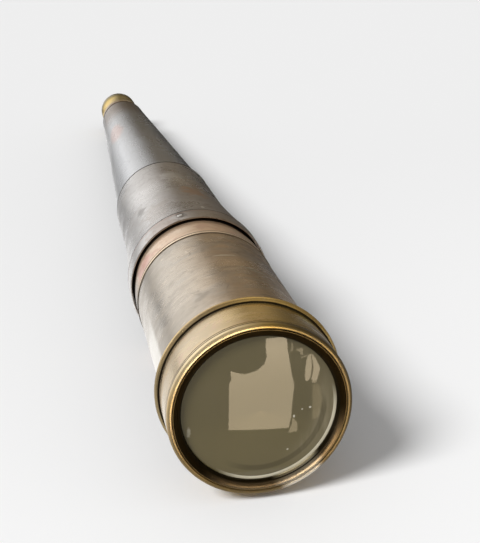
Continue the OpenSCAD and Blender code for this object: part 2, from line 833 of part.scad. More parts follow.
module stop_pins() {
    height = pin_sunk + shutter_t + shutter_gap + edge_small;
    for (side = [-1, 1]) at_pivot() rotate([0, 0, -swing / 2 - side * swing / 2])
        translate([side * pin_aside, pin_along, dish_station - pin_sunk]) cylinder(r = pin_r, h = height);
}

module shutter_stops() {
    color(steel) lay() stop_pins();
}

module dust_shutter() {
    color(dull_brass) lay() difference() {
        translate([0, 0, shutter_front]) union() {
            cylinder(r = shutter_r, h = shutter_t);
            at_pivot() cylinder(r = boss_r, h = shutter_t);
            translate([-arm_half, -pivot_up, 0]) cube([2 * arm_half, pivot_up, shutter_t]);
            translate([0, knob_down, 0]) cylinder(r = knob_r, h = shutter_t + knob_h);
        }
        at_pivot() translate([0, 0, shutter_front - cut])
            cylinder(r = pivot_r + running_fit, h = shutter_t + 2 * cut);
    }
}

objective_bezel();
objective_cell();
crown_lens();
lens_spacer();
flint_lens();
lens_retaining_ring();
front_band();
bead_ring();
objective_tube();
objective_baffle();
tube_collar();
mouth_ring();
mouth_screws();
barrel_bell();
bell_baffle();
cone_joint_ring();
cone_barrel();
guide_bulkhead();
guide_tube();
draw_collar();
collar_screws();
guide_liner();
draw_tube();
draw_stop_ring();
erector_tube();
erector_front_cell();
erector_front_lens();
erector_stop();
erector_rear_cell();
erector_rear_lens();
eyepiece_tube();
field_lens();
field_lens_ring();
field_stop();
eye_lens();
eye_lens_cell();
eye_cup();
shutter_pivot();
shutter_stops();
dust_shutter();
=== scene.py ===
import json
import math

import bmesh
import bpy
from bpy.props import FloatProperty, FloatVectorProperty, IntProperty, PointerProperty
from mathutils import Matrix, Vector


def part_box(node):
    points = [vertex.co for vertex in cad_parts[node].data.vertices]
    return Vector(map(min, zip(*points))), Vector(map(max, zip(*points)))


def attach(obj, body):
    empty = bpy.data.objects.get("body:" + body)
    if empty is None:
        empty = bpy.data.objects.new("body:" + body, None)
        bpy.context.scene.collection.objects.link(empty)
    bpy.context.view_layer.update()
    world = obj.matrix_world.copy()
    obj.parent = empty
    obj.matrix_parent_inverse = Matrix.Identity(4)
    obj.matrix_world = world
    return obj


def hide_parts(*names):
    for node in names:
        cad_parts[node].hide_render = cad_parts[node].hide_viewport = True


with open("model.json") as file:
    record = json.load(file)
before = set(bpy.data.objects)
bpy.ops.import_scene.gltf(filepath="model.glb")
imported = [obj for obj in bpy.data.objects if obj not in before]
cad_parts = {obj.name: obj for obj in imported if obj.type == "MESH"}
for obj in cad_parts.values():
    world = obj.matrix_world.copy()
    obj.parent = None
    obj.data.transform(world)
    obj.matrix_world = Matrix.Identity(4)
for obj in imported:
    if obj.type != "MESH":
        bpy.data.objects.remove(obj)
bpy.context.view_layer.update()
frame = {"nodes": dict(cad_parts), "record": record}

bl_info = {
    "name": "One-draw spyglass",
    "version": (1, 0, 0),
    "blender": (4, 5, 0),
    "location": "View3D > Sidebar > Spyglass",
    "description": "Turned shells, lenses and aged metal finishes of a one-draw spyglass, on a pale studio floor",
    "category": "Object",
}

MM = 0.001


def outer_radius(node):
    """Largest radius of a turned CAD node."""
    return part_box(node)[1].x


def span(node):
    """Front and back of a CAD node along the optical axis."""
    low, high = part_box(node)
    return low.y, high.y


LIP = span("objective_bezel")[0]


def station(y_mm):
    """Place along the axis, in metres, of a distance in millimetres behind the lip."""
    return LIP + y_mm * MM


def around(degrees):
    """Unit vector across the axis, turned from the top towards +X."""
    a = math.radians(degrees)
    return (math.sin(a), 0.0, math.cos(a))


def on_surface(radius, place, degrees):
    """A point at that radius and place, turned from the top towards +X."""
    spoke = around(degrees)
    return (radius * spoke[0], place, radius * spoke[2])


# Sizes and finishes that a user would change


def length(name, description, default):
    return FloatProperty(name=name, description=description, default=default, min=0.0, max=1.0,
                         precision=5, unit="LENGTH", subtype="DISTANCE")


def brightness(name, description, default):
    return FloatProperty(name=name, description=description, default=default, min=0.0, max=3.0,
                         subtype="FACTOR")


def colour(name, description, default):
    return FloatVectorProperty(name=name, description=description, default=default, min=0.0, max=1.0,
                               size=3, subtype="COLOR")


class SpyglassSizes(bpy.types.PropertyGroup):
    turn_steps: IntProperty(name="Steps round", description="Straight steps in one full turn of a shell",
                            default=224, min=24, max=512)
    lip_round: length("Lip rounding", "Rounding of the bright lip round the objective", 0.0010)
    line_depth: length("Line depth", "Depth of the turned dark lines", 0.00032)
    edge_round: length("Edge rounding", "Rounding of turned edges", 0.00022)
    clear_radius: length("Lens opening", "Radius of the lens that shows", 0.028)
    lens_set_back: length("Lens set back", "Distance from the lip to the lens edge", 0.0022)
    front_curve: length("Lens curve", "Radius of curvature of the objective's front", 0.29)
    bead_radius: length("Bead radius", "Outer radius of the raised bead", outer_radius("bead_ring"))
    tube_radius: length("Tube radius", "Outer radius of the objective tube", outer_radius("objective_tube"))
    mouth_gap: length("Dark gap", "Width of the gap between the collar and the mouth", 0.0015)
    mouth_depth: length("Gap depth", "Depth of the gap between the collar and the mouth", 0.005)
    waist_radius: length("Bell waist", "Radius of the bell where its flare ends", 0.0282)
    flare_length: length("Bell flare", "Length of the bell's flare", 0.066)
    shell_wall: length("Shell wall", "Thickness of the bell and the taper", 0.0009)


class SpyglassFinish(bpy.types.PropertyGroup):
    gold: colour("Polished brass", "Colour of the lip, the band, the bead and the eye cup", (0.66, 0.43, 0.11))
    gold_dark: colour("Brass in shade", "Colour of the tarnish on the polished brass", (0.25, 0.155, 0.045))
    brown: colour("Brown patina", "Colour of the objective tube", (0.64, 0.48, 0.31))
    brown_dark: colour("Brown stains", "Colour of the tube's darker patches", (0.34, 0.235, 0.14))
    rose: colour("Collar", "Colour of the pinkish collar", (0.90, 0.62, 0.39))
    silver: colour("Worn plate", "Colour of the bell's worn plating", (0.67, 0.63, 0.60))
    silver_dark: colour("Plate stains", "Colour of the stains on the bell", (0.26, 0.205, 0.165))
    gunmetal: colour("Gunmetal", "Colour of the taper", (0.62, 0.64, 0.70))
    black: colour("Blackening", "Colour of the matt cells and light stops", (0.030, 0.023, 0.012))
    haze: colour("Lens haze", "Colour of the film on the old glass", (0.165, 0.134, 0.066))


class SpyglassStage(bpy.types.PropertyGroup):
    floor_colour: colour("Floor", "Colour of the pale floor", (0.93, 0.93, 0.93))
    key_power: FloatProperty(name="Key light", description="Strength of the soft light from the front left",
                             default=2.95, min=0.0, max=50.0)
    key_bearing: FloatProperty(name="Key bearing", description="Degrees from straight behind, to the right",
                               default=-118.5, min=-180.0, max=180.0)
    key_height: FloatProperty(name="Key height", description="Degrees above the horizon", default=43.0,
                              min=0.0, max=90.0)
    key_softness: FloatProperty(name="Key softness", description="Width of the light in degrees", default=22.0,
                                min=0.0, max=90.0)
    fill: brightness("Fill", "Strength of the light from all round", 0.39)
    backdrop: brightness("Backdrop", "Brightness of the room behind the floor", 0.84)
    mirrored_room: brightness("Mirrored room", "Brightness of the room in polished surfaces", 0.12)
    room_tint: colour("Room tint", "Colour of the room in polished surfaces", (1.0, 0.84, 0.60))


# Sizes of the part that its nodes' boxes don't give, in metres

FIT = 0.00005            # difference of radius of a lens or a ring and its seat
FACE_GAP = 0.0003        # between the faces of two shells that meet
TUBE_WALL = 0.001
TUBE_SEAT_STEP = 0.0002  # by which the tube's ends are thinner
TUBE_SEAT = 0.0046       # length of the tube's seat in the collar
SPIGOT_WALL = 0.0014
RIM_WALL = 0.0008        # of the flared mouth
CROWN_BACK_CURVE = 0.26
LEDGE = 0.0003           # of the cell, in front of the lens edge
TAPER_BACK_RADIUS = 0.0166
SCREW_RADIUS = 0.0013
DRAW_WALL = 0.0008
CUP_WALL = 0.0009

# Shapes that only this file has

FINE_EDGE = 0.0001       # rounding of fine edges
GROOVE_SLOPE = 0.6       # length of a groove's side, as a share of its depth


# Building shells

CREASE = math.radians(32)
MERGE_DISTANCE = 1e-7


def spread(start, end, rows):
    """Evenly spaced values from the start to the end."""
    return [start + (end - start) * i / rows for i in range(rows + 1)]


def rounded(outline, steps):
    """Replaces each corner (radius, place, rounding) by an arc, and keeps each corner (radius, place)."""
    points = []
    for i, (r, y, *rounding) in enumerate(outline):
        here = Vector((r, y))
        fillet = rounding[0] if rounding else 0.0
        if fillet <= 0:
            points.append(here)
            continue
        before = (Vector(outline[i - 1][:2]) - here).normalized()
        after = (Vector(outline[(i + 1) % len(outline)][:2]) - here).normalized()
        half = before.angle(after) / 2
        reach = fillet / math.tan(half)
        centre = here + (before + after).normalized() * (fillet / math.sin(half))
        start, end = here + before * reach - centre, here + after * reach - centre
        turn = start.angle_signed(end)
        for k in range(steps + 1):
            spoke = start.copy()
            spoke.rotate(Matrix.Rotation(-turn * k / steps, 2))
            points.append(centre + spoke)
    return points


def new_object(name, bm):
    """Makes a bmesh into an object at the origin."""
    mesh = bpy.data.meshes.new(name)
    bm.to_mesh(mesh)
    bm.free()
    item = bpy.data.objects.new(name, mesh)
    bpy.context.scene.collection.objects.link(item)
    return item


def finish_mesh(name, bm):
    """A piece from a bmesh, smooth but for edges sharper than the crease."""
    bmesh.ops.remove_doubles(bm, verts=bm.verts, dist=MERGE_DISTANCE)
    bmesh.ops.recalc_face_normals(bm, faces=bm.faces)
    piece = new_object(name, bm)
    piece.data.shade_smooth()
    piece.data.set_sharp_from_angle(angle=CREASE)
    return piece


def turned(name, outline, closed=True):
    """A shell turned about the optical axis from its outline of radii and places."""
    bm = bmesh.new()
    verts = [bm.verts.new((max(p[0], 0.0), p[1], 0.0)) for p in outline]
    edges = [bm.edges.new(pair) for pair in zip(verts, verts[1:] + (verts[:1] if closed else []))]
    bmesh.ops.spin(bm, geom=verts + edges, cent=(0, 0, 0), axis=(0, 1, 0), dvec=(0, 0, 0), angle=2 * math.pi,
                   steps=bpy.context.scene.spyglass_sizes.turn_steps, use_merge=True, use_duplicate=False)
    return finish_mesh(name, bm)


def sphere_place(vertex, curve, r):
    """Place along the axis of a spherical face; a negative curve bulges to the back."""
    return vertex + curve - math.copysign(math.sqrt(curve * curve - r * r), curve)


def sits(piece, body, material, node):
    """Gives a piece its material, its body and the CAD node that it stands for."""
    piece.data.materials.clear()
    piece.data.materials.append(material)
    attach(piece, body)
    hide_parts(node)


def shell(name, node, material, outline, steps=4, body="barrel"):
    """Turns an outline into the shell that stands for a CAD node; steps are those of each rounding."""
    sits(turned(name, rounded(outline, steps)), body, material, node)


# Node groups that the materials share

ACROSS = (1.0, 0.0, 1.0)  # leaves out the place along the axis


class Nodes:
    """Short ways to add and join nodes in one node tree."""

    def __init__(self, tree):
        self.tree = tree

    def plug(self, value, socket):
        """Links an output to a socket, or sets the socket's own value."""
        if isinstance(value, bpy.types.NodeSocket):
            self.tree.links.new(value, socket)
        else:
            socket.default_value = value

    def add(self, kind, inputs=(), **settings):
        node = self.tree.nodes.new(kind)
        for key, value in settings.items():
            setattr(node, key, value)
        for key, value in dict(inputs).items():
            self.plug(value, node.inputs[key])
        return node

    def math(self, operation, a, b=0.0, c=0.0, clamp=False):
        return self.add("ShaderNodeMath", {0: a, 1: b, 2: c}, operation=operation, use_clamp=clamp).outputs[0]

    def both(self, a, b):
        """Where two masks meet, or a mask at a share of its strength."""
        return self.math("MULTIPLY", a, b)

    def total(self, value, *shares):
        """A value with a share of each mask added."""
        for mask, weight in shares:
            value = self.math("MULTIPLY_ADD", mask, weight, value)
        return value

    def vector(self, operation, *values):
        node = self.add("ShaderNodeVectorMath", enumerate(values), operation=operation)
        return node.outputs["Value" if operation in ("LENGTH", "DOT_PRODUCT") else "Vector"]

    def scaled(self, place, across, along):
        """A place drawn out by one scale across the axis and another along it."""
        scale = self.add("ShaderNodeCombineXYZ", enumerate((across, along, across))).outputs[0]
        return self.vector("MULTIPLY", place, scale)

    def along_axis(self, place):
        return self.add("ShaderNodeSeparateXYZ", {0: place}).outputs[1]

    def noise(self, place, scale, detail, seed=None, **more):
        inputs = {"Vector": place, "Scale": scale, "Detail": detail, **more}
        if seed is not None:
            inputs["W"] = seed
        return self.add("ShaderNodeTexNoise", inputs, noise_dimensions="3D" if seed is None else "4D").outputs["Fac"]

    def ramp(self, value, low, high, to_low=0.0, to_high=1.0):
        return self.add("ShaderNodeMapRange", {"Value": value, "From Min": low, "From Max": high,
                                               "To Min": to_low, "To Max": to_high},
                        interpolation_type="SMOOTHSTEP", clamp=True).outputs["Result"]

    def mix(self, factor, a, b):
        colours = {key: value if isinstance(value, bpy.types.NodeSocket) else (*value[:3], 1.0)
                   for key, value in ((6, a), (7, b))}
        return self.add("ShaderNodeMix", {0: factor, **colours}, data_type="RGBA").outputs[2]


def new_group(name, output, **inputs):
    """An empty shader node group that reads a place; returns its nodes, its inputs and its output socket."""
    tree = bpy.data.node_groups.new(name, "ShaderNodeTree")
    for label, default in {"Place": (0, 0, 0), **inputs}.items():
        kind = "NodeSocketVector" if isinstance(default, tuple) else "NodeSocketFloat"
        socket = tree.interface.new_socket(label.replace("_", " "), in_out="INPUT", socket_type=kind)
        socket.default_value = default
    tree.interface.new_socket(output, in_out="OUTPUT", socket_type="NodeSocketFloat")
    nodes = Nodes(tree)
    return nodes, nodes.add("NodeGroupInput").outputs, nodes.add("NodeGroupOutput").inputs[output]


def make_groups():
    """Marks that run round a turned tube, cloudy patches, fine scratches, specks, spots and edge lines."""
    n, enter, leave = new_group("round_marks", "Mark", Along=2600.0, Round=60.0, Seed=0.0)
    place = n.scaled(enter["Place"], enter["Round"], enter["Along"])
    n.plug(n.ramp(n.noise(place, 1.0, 3.0, enter["Seed"], Roughness=0.62), 0.25, 0.75), leave)

    n, enter, leave = new_group("patches", "Patch", Stretch=(1, 1, 1), Fineness=60.0, From=0.45, To=0.62,
                                Warp=0.4, Seed=0.0)
    place = n.vector("MULTIPLY", enter["Place"], enter["Stretch"])
    noise = n.noise(place, enter["Fineness"], 5.0, enter["Seed"], Roughness=0.58, Distortion=enter["Warp"])
    n.plug(n.ramp(noise, enter["From"], enter["To"]), leave)

    n, enter, leave = new_group("scratches", "Scratch", Turn=(0.3, 0.2, 0.5), Length=45.0, Fineness=420.0,
                                Width=0.012, Share=0.5, Seed=0.0)
    turned_place = n.add("ShaderNodeVectorRotate", {"Vector": enter["Place"], "Rotation": enter["Turn"]},
                         rotation_type="EULER_XYZ").outputs[0]
    line = n.noise(n.scaled(turned_place, enter["Length"], enter["Fineness"]), 1.0, 1.0, enter["Seed"])
    off_line = n.math("ABSOLUTE", n.math("SUBTRACT", line, 0.5))
    thin = n.math("SUBTRACT", 1.0, n.math("DIVIDE", off_line, enter["Width"], clamp=True))
    where = n.noise(enter["Place"], 95.0, 2.0, enter["Seed"])
    kept = n.ramp(where, n.math("SUBTRACT", 1.0, enter["Share"]), n.math("SUBTRACT", 1.08, enter["Share"]))
    n.plug(n.both(thin, kept), leave)

    n, enter, leave = new_group("specks", "Speck", Fineness=420.0, Share=0.12, Size=0.28)
    cell = n.add("ShaderNodeTexVoronoi", {"Vector": enter["Place"], "Scale": enter["Fineness"]}, feature="F1")
    dot = n.ramp(cell.outputs["Distance"], enter["Size"], 0.0)
    pick = n.add("ShaderNodeSeparateColor", {0: cell.outputs["Color"]}).outputs[0]
    n.plug(n.both(dot, n.math("LESS_THAN", pick, enter["Share"])), leave)

    n, enter, leave = new_group("spot", "Spot", Centre=(0, 0, 0), Stretch=(1, 1, 1), Radius=0.004, Ragged=0.4,
                                Fineness=300.0)
    away = n.vector("MULTIPLY", n.vector("SUBTRACT", enter["Place"], enter["Centre"]), enter["Stretch"])
    rough = n.math("SUBTRACT", n.noise(enter["Place"], enter["Fineness"], 3.0), 0.5)
    bent = n.math("MULTIPLY_ADD", rough, n.math("MULTIPLY", enter["Ragged"], 2.0),
                  n.math("DIVIDE", n.vector("LENGTH", away), enter["Radius"]))
    n.plug(n.ramp(bent, 1.0, 0.45), leave)

    n, enter, leave = new_group("edge_line", "Line", Station=0.0, Half_width=0.0005, Soft=0.0004, Ragged=0.0003)
    rough = n.math("SUBTRACT", n.noise(enter["Place"], 380.0, 3.0), 0.5)
    bent = n.math("MULTIPLY_ADD", rough, enter["Ragged"], n.along_axis(enter["Place"]))
    off = n.math("ABSOLUTE", n.math("SUBTRACT", bent, enter["Station"]))
    n.plug(n.ramp(off, n.math("ADD", enter["Half width"], enter["Soft"]), enter["Half width"]), leave)

    n, enter, leave = new_group("from_axis", "Within", Radius=0.03, Soft=0.0002)
    radius = n.vector("LENGTH", n.vector("MULTIPLY", enter["Place"], ACROSS))
    n.plug(n.ramp(radius, n.math("ADD", enter["Radius"], enter["Soft"]), enter["Radius"]), leave)

    n, enter, leave = new_group("towards", "Share", Way=(0, 0, 1), From=0.0, To=0.9)
    spoke = n.vector("NORMALIZE", n.vector("MULTIPLY", enter["Place"], ACROSS))
    n.plug(n.ramp(n.vector("DOT_PRODUCT", spoke, enter["Way"]), enter["From"], enter["To"]), leave)


# Colour, cover and roughness of dirt and of painted shade
DIRT_AND_SHADE = (0.022, 0.016, 0.010)
DIRT_AND_SHADE_COVER = 0.95
DIRT_AND_SHADE_ROUGHNESS = 0.9


class Finish(Nodes):
    """A material with its surface shader, its place on the piece and the shared groups."""

    def __init__(self, name, metallic, **surface):
        self.material = bpy.data.materials.new(name)
        self.material.use_nodes = True
        super().__init__(self.material.node_tree)
        self.surface = self.tree.nodes["Principled BSDF"]
        for key, value in {"Metallic": metallic, **surface}.items():
            self.surface.inputs[key.replace("_", " ")].default_value = value
        self.place = self.add("ShaderNodeTexCoord").outputs["Object"]

    def group(self, kind, **inputs):
        node = self.add("ShaderNodeGroup")
        node.node_tree = bpy.data.node_groups[kind]
        self.tree.links.new(self.place, node.inputs["Place"])
        for key, value in inputs.items():
            node.inputs[key.replace("_", " ")].default_value = value
        return node.outputs[0]

    def marks(self, along, across, seed):
        return self.group("round_marks", Along=along, Round=across, Seed=seed)

    def patches(self, fineness, low, high, warp, seed, stretch=(1, 1, 1)):
        return self.group("patches", Stretch=stretch, Fineness=fineness, From=low, To=high, Warp=warp, Seed=seed)

    def scratches(self, turn, length, fineness, width, share, seed=0.0):
        return self.group("scratches", Turn=turn, Length=length, Fineness=fineness, Width=width, Share=share,
                          Seed=seed)

    def specks(self, fineness, share, size):
        return self.group("specks", Fineness=fineness, Share=share, Size=size)

    def spot(self, centre, radius, ragged, fineness=300.0, stretch=(1, 1, 1)):
        return self.group("spot", Centre=centre, Radius=radius, Ragged=ragged, Fineness=fineness, Stretch=stretch)

    def edge_line(self, place, half, soft, ragged):
        return self.group("edge_line", Station=place, Half_width=half, Soft=soft, Ragged=ragged)

    def within(self, radius, soft):
        return self.group("from_axis", Radius=radius, Soft=soft)

    def towards(self, degrees, low, high):
        return self.group("towards", Way=around(degrees), From=low, To=high)

    def stations(self, start, end):
        """Rises from one place along the axis to another."""
        return self.ramp(self.along_axis(self.place), start, end)

    def ring(self, radius, half, soft):
        """A thin circle of a lens face."""
        return self.math("SUBTRACT", self.within(radius + half, soft), self.within(radius - half - soft, soft),
                         clamp=True)

    def lines(self, places, *masks):
        """Dirt lines round the piece, each a station and half its width, joined with other masks
        of dirt and of painted shade.
        """
        found = [self.edge_line(place, half, half * 0.9, half * 0.7) for place, half in places] + list(masks)
        strongest = found[0]
        for mask in found[1:]:
            strongest = self.math("MAXIMUM", strongest, mask)
        return strongest

    def blend(self, base, *layers):
        """Lays colours over a base, each with its mask and strength."""
        for mask, strength, tint in layers:
            base = self.mix(self.both(mask, strength), base, tint)
        return base

    def done(self, base, rough=None, heights=(), dirt_and_shade=None, coat=0.0):
        """Joins colour, roughness and bumps to the surface, under dirt and painted shade that are dark, dull
        and without shine.
        """
        if dirt_and_shade is not None:
            shine = self.both(self.math("SUBTRACT", 1.0, dirt_and_shade), coat)
            self.plug(shine, self.surface.inputs["Coat Weight"])
            rough = self.math("ADD", rough, self.both(dirt_and_shade, self.math("SUBTRACT", DIRT_AND_SHADE_ROUGHNESS, rough)))
            base = self.mix(self.both(dirt_and_shade, DIRT_AND_SHADE_COVER), base, DIRT_AND_SHADE)
        self.plug(base, self.surface.inputs["Base Color"])
        if rough is not None:
            self.plug(rough, self.surface.inputs["Roughness"])
        below = {}
        for height, strength, distance in heights:
            bump = self.add("ShaderNodeBump", {"Height": height, "Strength": strength, "Distance": distance, **below})
            below = {"Normal": bump.outputs["Normal"]}
        if below:
            self.plug(below["Normal"], self.surface.inputs["Normal"])
        return self.material


# Materials; a layer is a mask, its strength and its colour, a bump is a height, its strength and its distance


def polished_brass(name, lines, dull=0.0, satin=0.0, worn=0.0, shade=0.0, glow=0.0, extra=()):
    """Warm brass with tarnish, smears and nicks, with lines of dark dirt, and painted light and shade.

    Worn is the strength of a paler, greyer tone painted on the lit left side, with painted pink reflections;
    shade is that of painted shade towards the lower right, and glow that of a brighter, more orange tone
    painted on the right side. Each extra is a kind of mark, its values, its strength and its colour; most
    extras are painted highlights and painted shade."""
    tint = bpy.context.scene.spyglass_finish
    f = Finish(name, 0.84, Coat_Roughness=0.16)
    tarnish = f.patches(30, 0.42, 0.62, warp=0.9, seed=3.1, stretch=(1, 2.0, 1))
    smear = f.patches(46, 0.52, 0.60, warp=1.8, seed=8.3, stretch=(1, 3.0, 1))
    # The rosy patches, laid on the lit left alone, are painted reflections.
    rosy_reflections = f.patches(70, 0.54, 0.64, warp=1.6, seed=5.3, stretch=(1, 1.4, 1))
    fine = f.patches(210, 0.45, 0.70, warp=0.2, seed=7.7)
    marks = f.marks(along=5200, across=40, seed=1.5)
    nicks = f.specks(480, share=0.10, size=0.24)
    scuffs = f.scratches((0.5, 0.9, 0.4), length=60, fineness=900, width=0.012, share=0.46)
    # Painted light and shade: paler on the lit left, darker towards the lower right, more orange on the right.
    left = f.both(f.towards(-66, 0.25, 0.95), worn)
    low = f.both(f.towards(130, -0.2, 0.8), shade)
    right = f.both(f.towards(30, 0.45, 0.95), glow)
    own = [(getattr(f, kind)(*values), strength, tone) for kind, values, strength, tone in extra]
    base = f.blend(
        tint.gold, (tarnish, 0.36 + dull, tint.gold_dark), (fine, 0.22, tint.gold_dark),
        (low, 1.0, (0.30, 0.20, 0.10)), (left, 0.66, (0.54, 0.475, 0.385)), (right, 0.75, (1.0, 0.72, 0.32)),
        (f.both(rosy_reflections, left), 0.45, (0.62, 0.40, 0.32)), (smear, 0.32, (0.78, 0.58, 0.32)),
        (nicks, 0.55, tint.gold_dark), (scuffs, 0.35, (0.90, 0.78, 0.54)), *own)
    rough = f.total(0.16 + satin, (tarnish, 0.12), (marks, 0.06), (smear, 0.10))
    bumps = [(marks, 0.08, 0.00012), (scuffs, 0.12, 0.0001), (nicks, 0.2, 0.00015), (tarnish, 0.08, 0.0004)]
    return f.done(base, rough, bumps, f.lines(lines), coat=0.12)


def brown_tube(radius, lines):
    """Brown patina over brass: smears and fine scratches round the tube, short pale ones across it.

    Its sides get tones painted to match the light; a painted reflection runs along the left limb and a
    soft painted highlight lies on top.
    """
    tint = bpy.context.scene.spyglass_finish
    f = Finish("brown_patina", 1.0, Coat_Roughness=0.26)
    cloud = f.patches(20, 0.42, 0.60, warp=1.0, seed=2.2, stretch=(1, 1.8, 1))
    smear = f.patches(38, 0.50, 0.60, warp=2.0, seed=6.1, stretch=(1, 3.4, 1))
    dark = f.patches(52, 0.54, 0.66, warp=1.6, seed=1.7, stretch=(1, 2.4, 1))
    grey = f.patches(30, 0.50, 0.62, warp=1.4, seed=9.4, stretch=(1, 1.5, 1))
    fine = f.patches(190, 0.44, 0.66, warp=0.8, seed=5.0, stretch=(1, 1.6, 1))
    marks = f.marks(along=1500, across=26, seed=8.0)
    scuffs = f.scratches((0.12, 0.0, 0.10), length=26, fineness=420, width=0.016, share=0.48)
    cross = f.scratches((0.9, 0.5, 0.9), length=60, fineness=420, width=0.018, share=0.46, seed=3.0)
    steep = f.scratches((1.3, 0.2, 0.4), length=80, fineness=360, width=0.016, share=0.42, seed=6.0)
    # Painted light: tones by side, a pale painted reflection on the left limb, a soft painted highlight on top.
    left = f.towards(-70, 0.25, 0.95)
    right = f.towards(35, 0.35, 0.95)
    limb_reflection = f.both(f.towards(-100, 0.885, 0.925), f.stations(station(84), station(52)))
    gleam = f.spot(on_surface(radius, station(73), 12), 0.014, 1.0, 110, (0.7, 1.6, 0.7))
    strokes = [(f.spot(on_surface(radius, station(y), degrees), size, 0.5, stretch=(0.32, 2.2, 0.32)),
                0.75, (1.0, 0.93, 0.80))
               for y, degrees, size in ((77.6, 4.3, 0.0020), (64.3, 18.5, 0.0018), (61.9, 23.9, 0.0014))]
    base = f.blend(
        tint.brown, (right, 0.70, (0.98, 0.72, 0.46)), (cloud, 0.45, tint.brown_dark),
        (smear, 0.28, (0.86, 0.66, 0.45)), (grey, 0.35, (0.50, 0.46, 0.41)), (dark, 0.42, (0.24, 0.165, 0.095)),
        (gleam, 0.20, (0.98, 0.76, 0.54)), (fine, 0.16, tint.brown_dark), (left, 0.75, (0.385, 0.35, 0.295)),
        (marks, 0.06, (0.60, 0.50, 0.38)), (scuffs, 0.40, (0.88, 0.74, 0.58)), (cross, 0.42, (0.92, 0.78, 0.62)),
        (steep, 0.45, (0.18, 0.13, 0.08)), (limb_reflection, 0.85, (0.98, 0.94, 0.86)), *strokes)
    rough = f.total(0.22, (cloud, 0.12), (fine, 0.08), (dark, 0.10))
    bumps = [(cloud, 0.05, 0.0016), (scuffs, 0.18, 0.0002), (cross, 0.20, 0.0002), (steep, 0.20, 0.0002)]
    return f.done(base, rough, bumps, f.lines(lines), coat=0.45)


def rose_collar(front, lip_back):
    """Pinkish brown collar with a painted highlight along its front edge, tones painted by side, a painted
    dark left limb, and painted shade behind the shoulder, in the gap within the mouth.
    """
    tint = bpy.context.scene.spyglass_finish
    f = Finish("rose_patina", 0.6, Coat_Roughness=0.28)
    cloud = f.patches(60, 0.44, 0.62, warp=1.2, seed=6.0, stretch=(1, 1.8, 1))
    fine = f.patches(260, 0.45, 0.68, warp=0.3, seed=9.0)
    marks = f.marks(along=1700, across=40, seed=2.0)
    # A painted highlight along the rounded front edge.
    bright = f.edge_line(front + 0.0010, half=0.0006, soft=0.0008, ragged=0.0005)
    nicks = f.specks(260, share=0.14, size=0.32)
    pits = f.specks(420, share=0.16, size=0.32)
    pink = f.spot(on_surface(0.0312, station(116), -62), 0.009, 0.6)
    stain = f.patches(120, 0.52, 0.62, warp=1.4, seed=4.2)
    # Painted light: greyer on the lit left, darker on the right, and a painted dark left limb.
    left = f.towards(-60, 0.2, 0.95)
    right = f.towards(60, 0.25, 0.90)
    edge = f.towards(-104, 0.80, 0.98)
    base = f.blend(
        tint.rose, (left, 0.52, (0.60, 0.53, 0.44)), (right, 0.62, (0.40, 0.28, 0.16)),
        (cloud, 0.42, (0.58, 0.36, 0.21)), (pink, 0.65, (0.72, 0.36, 0.31)), (fine, 0.22, (0.50, 0.34, 0.21)),
        (nicks, 0.45, (0.98, 0.80, 0.60)), (stain, 0.45, (0.50, 0.26, 0.17)), (pits, 0.6, (0.18, 0.12, 0.08)),
        (bright, 0.45, (0.96, 0.78, 0.52)), (edge, 0.90, (0.18, 0.14, 0.10)))
    rough = f.total(0.27, (cloud, 0.10), (marks, 0.08))
    # Painted shade behind the shoulder, in the gap within the mouth; it joins dirt lines at the front.
    behind = f.stations(lip_back + 0.0005, lip_back + 0.0016)
    dirt_and_shade = f.lines((), behind, f.both(f.lines([(front + 0.0022, 0.00025), (front, 0.0002)]), 0.75))
    bumps = [(cloud, 0.08, 0.0006), (marks, 0.06, 0.0002), (nicks, 0.25, 0.0002), (pits, 0.25, 0.0002)]
    return f.done(base, rough, bumps, dirt_and_shade, coat=0.40)


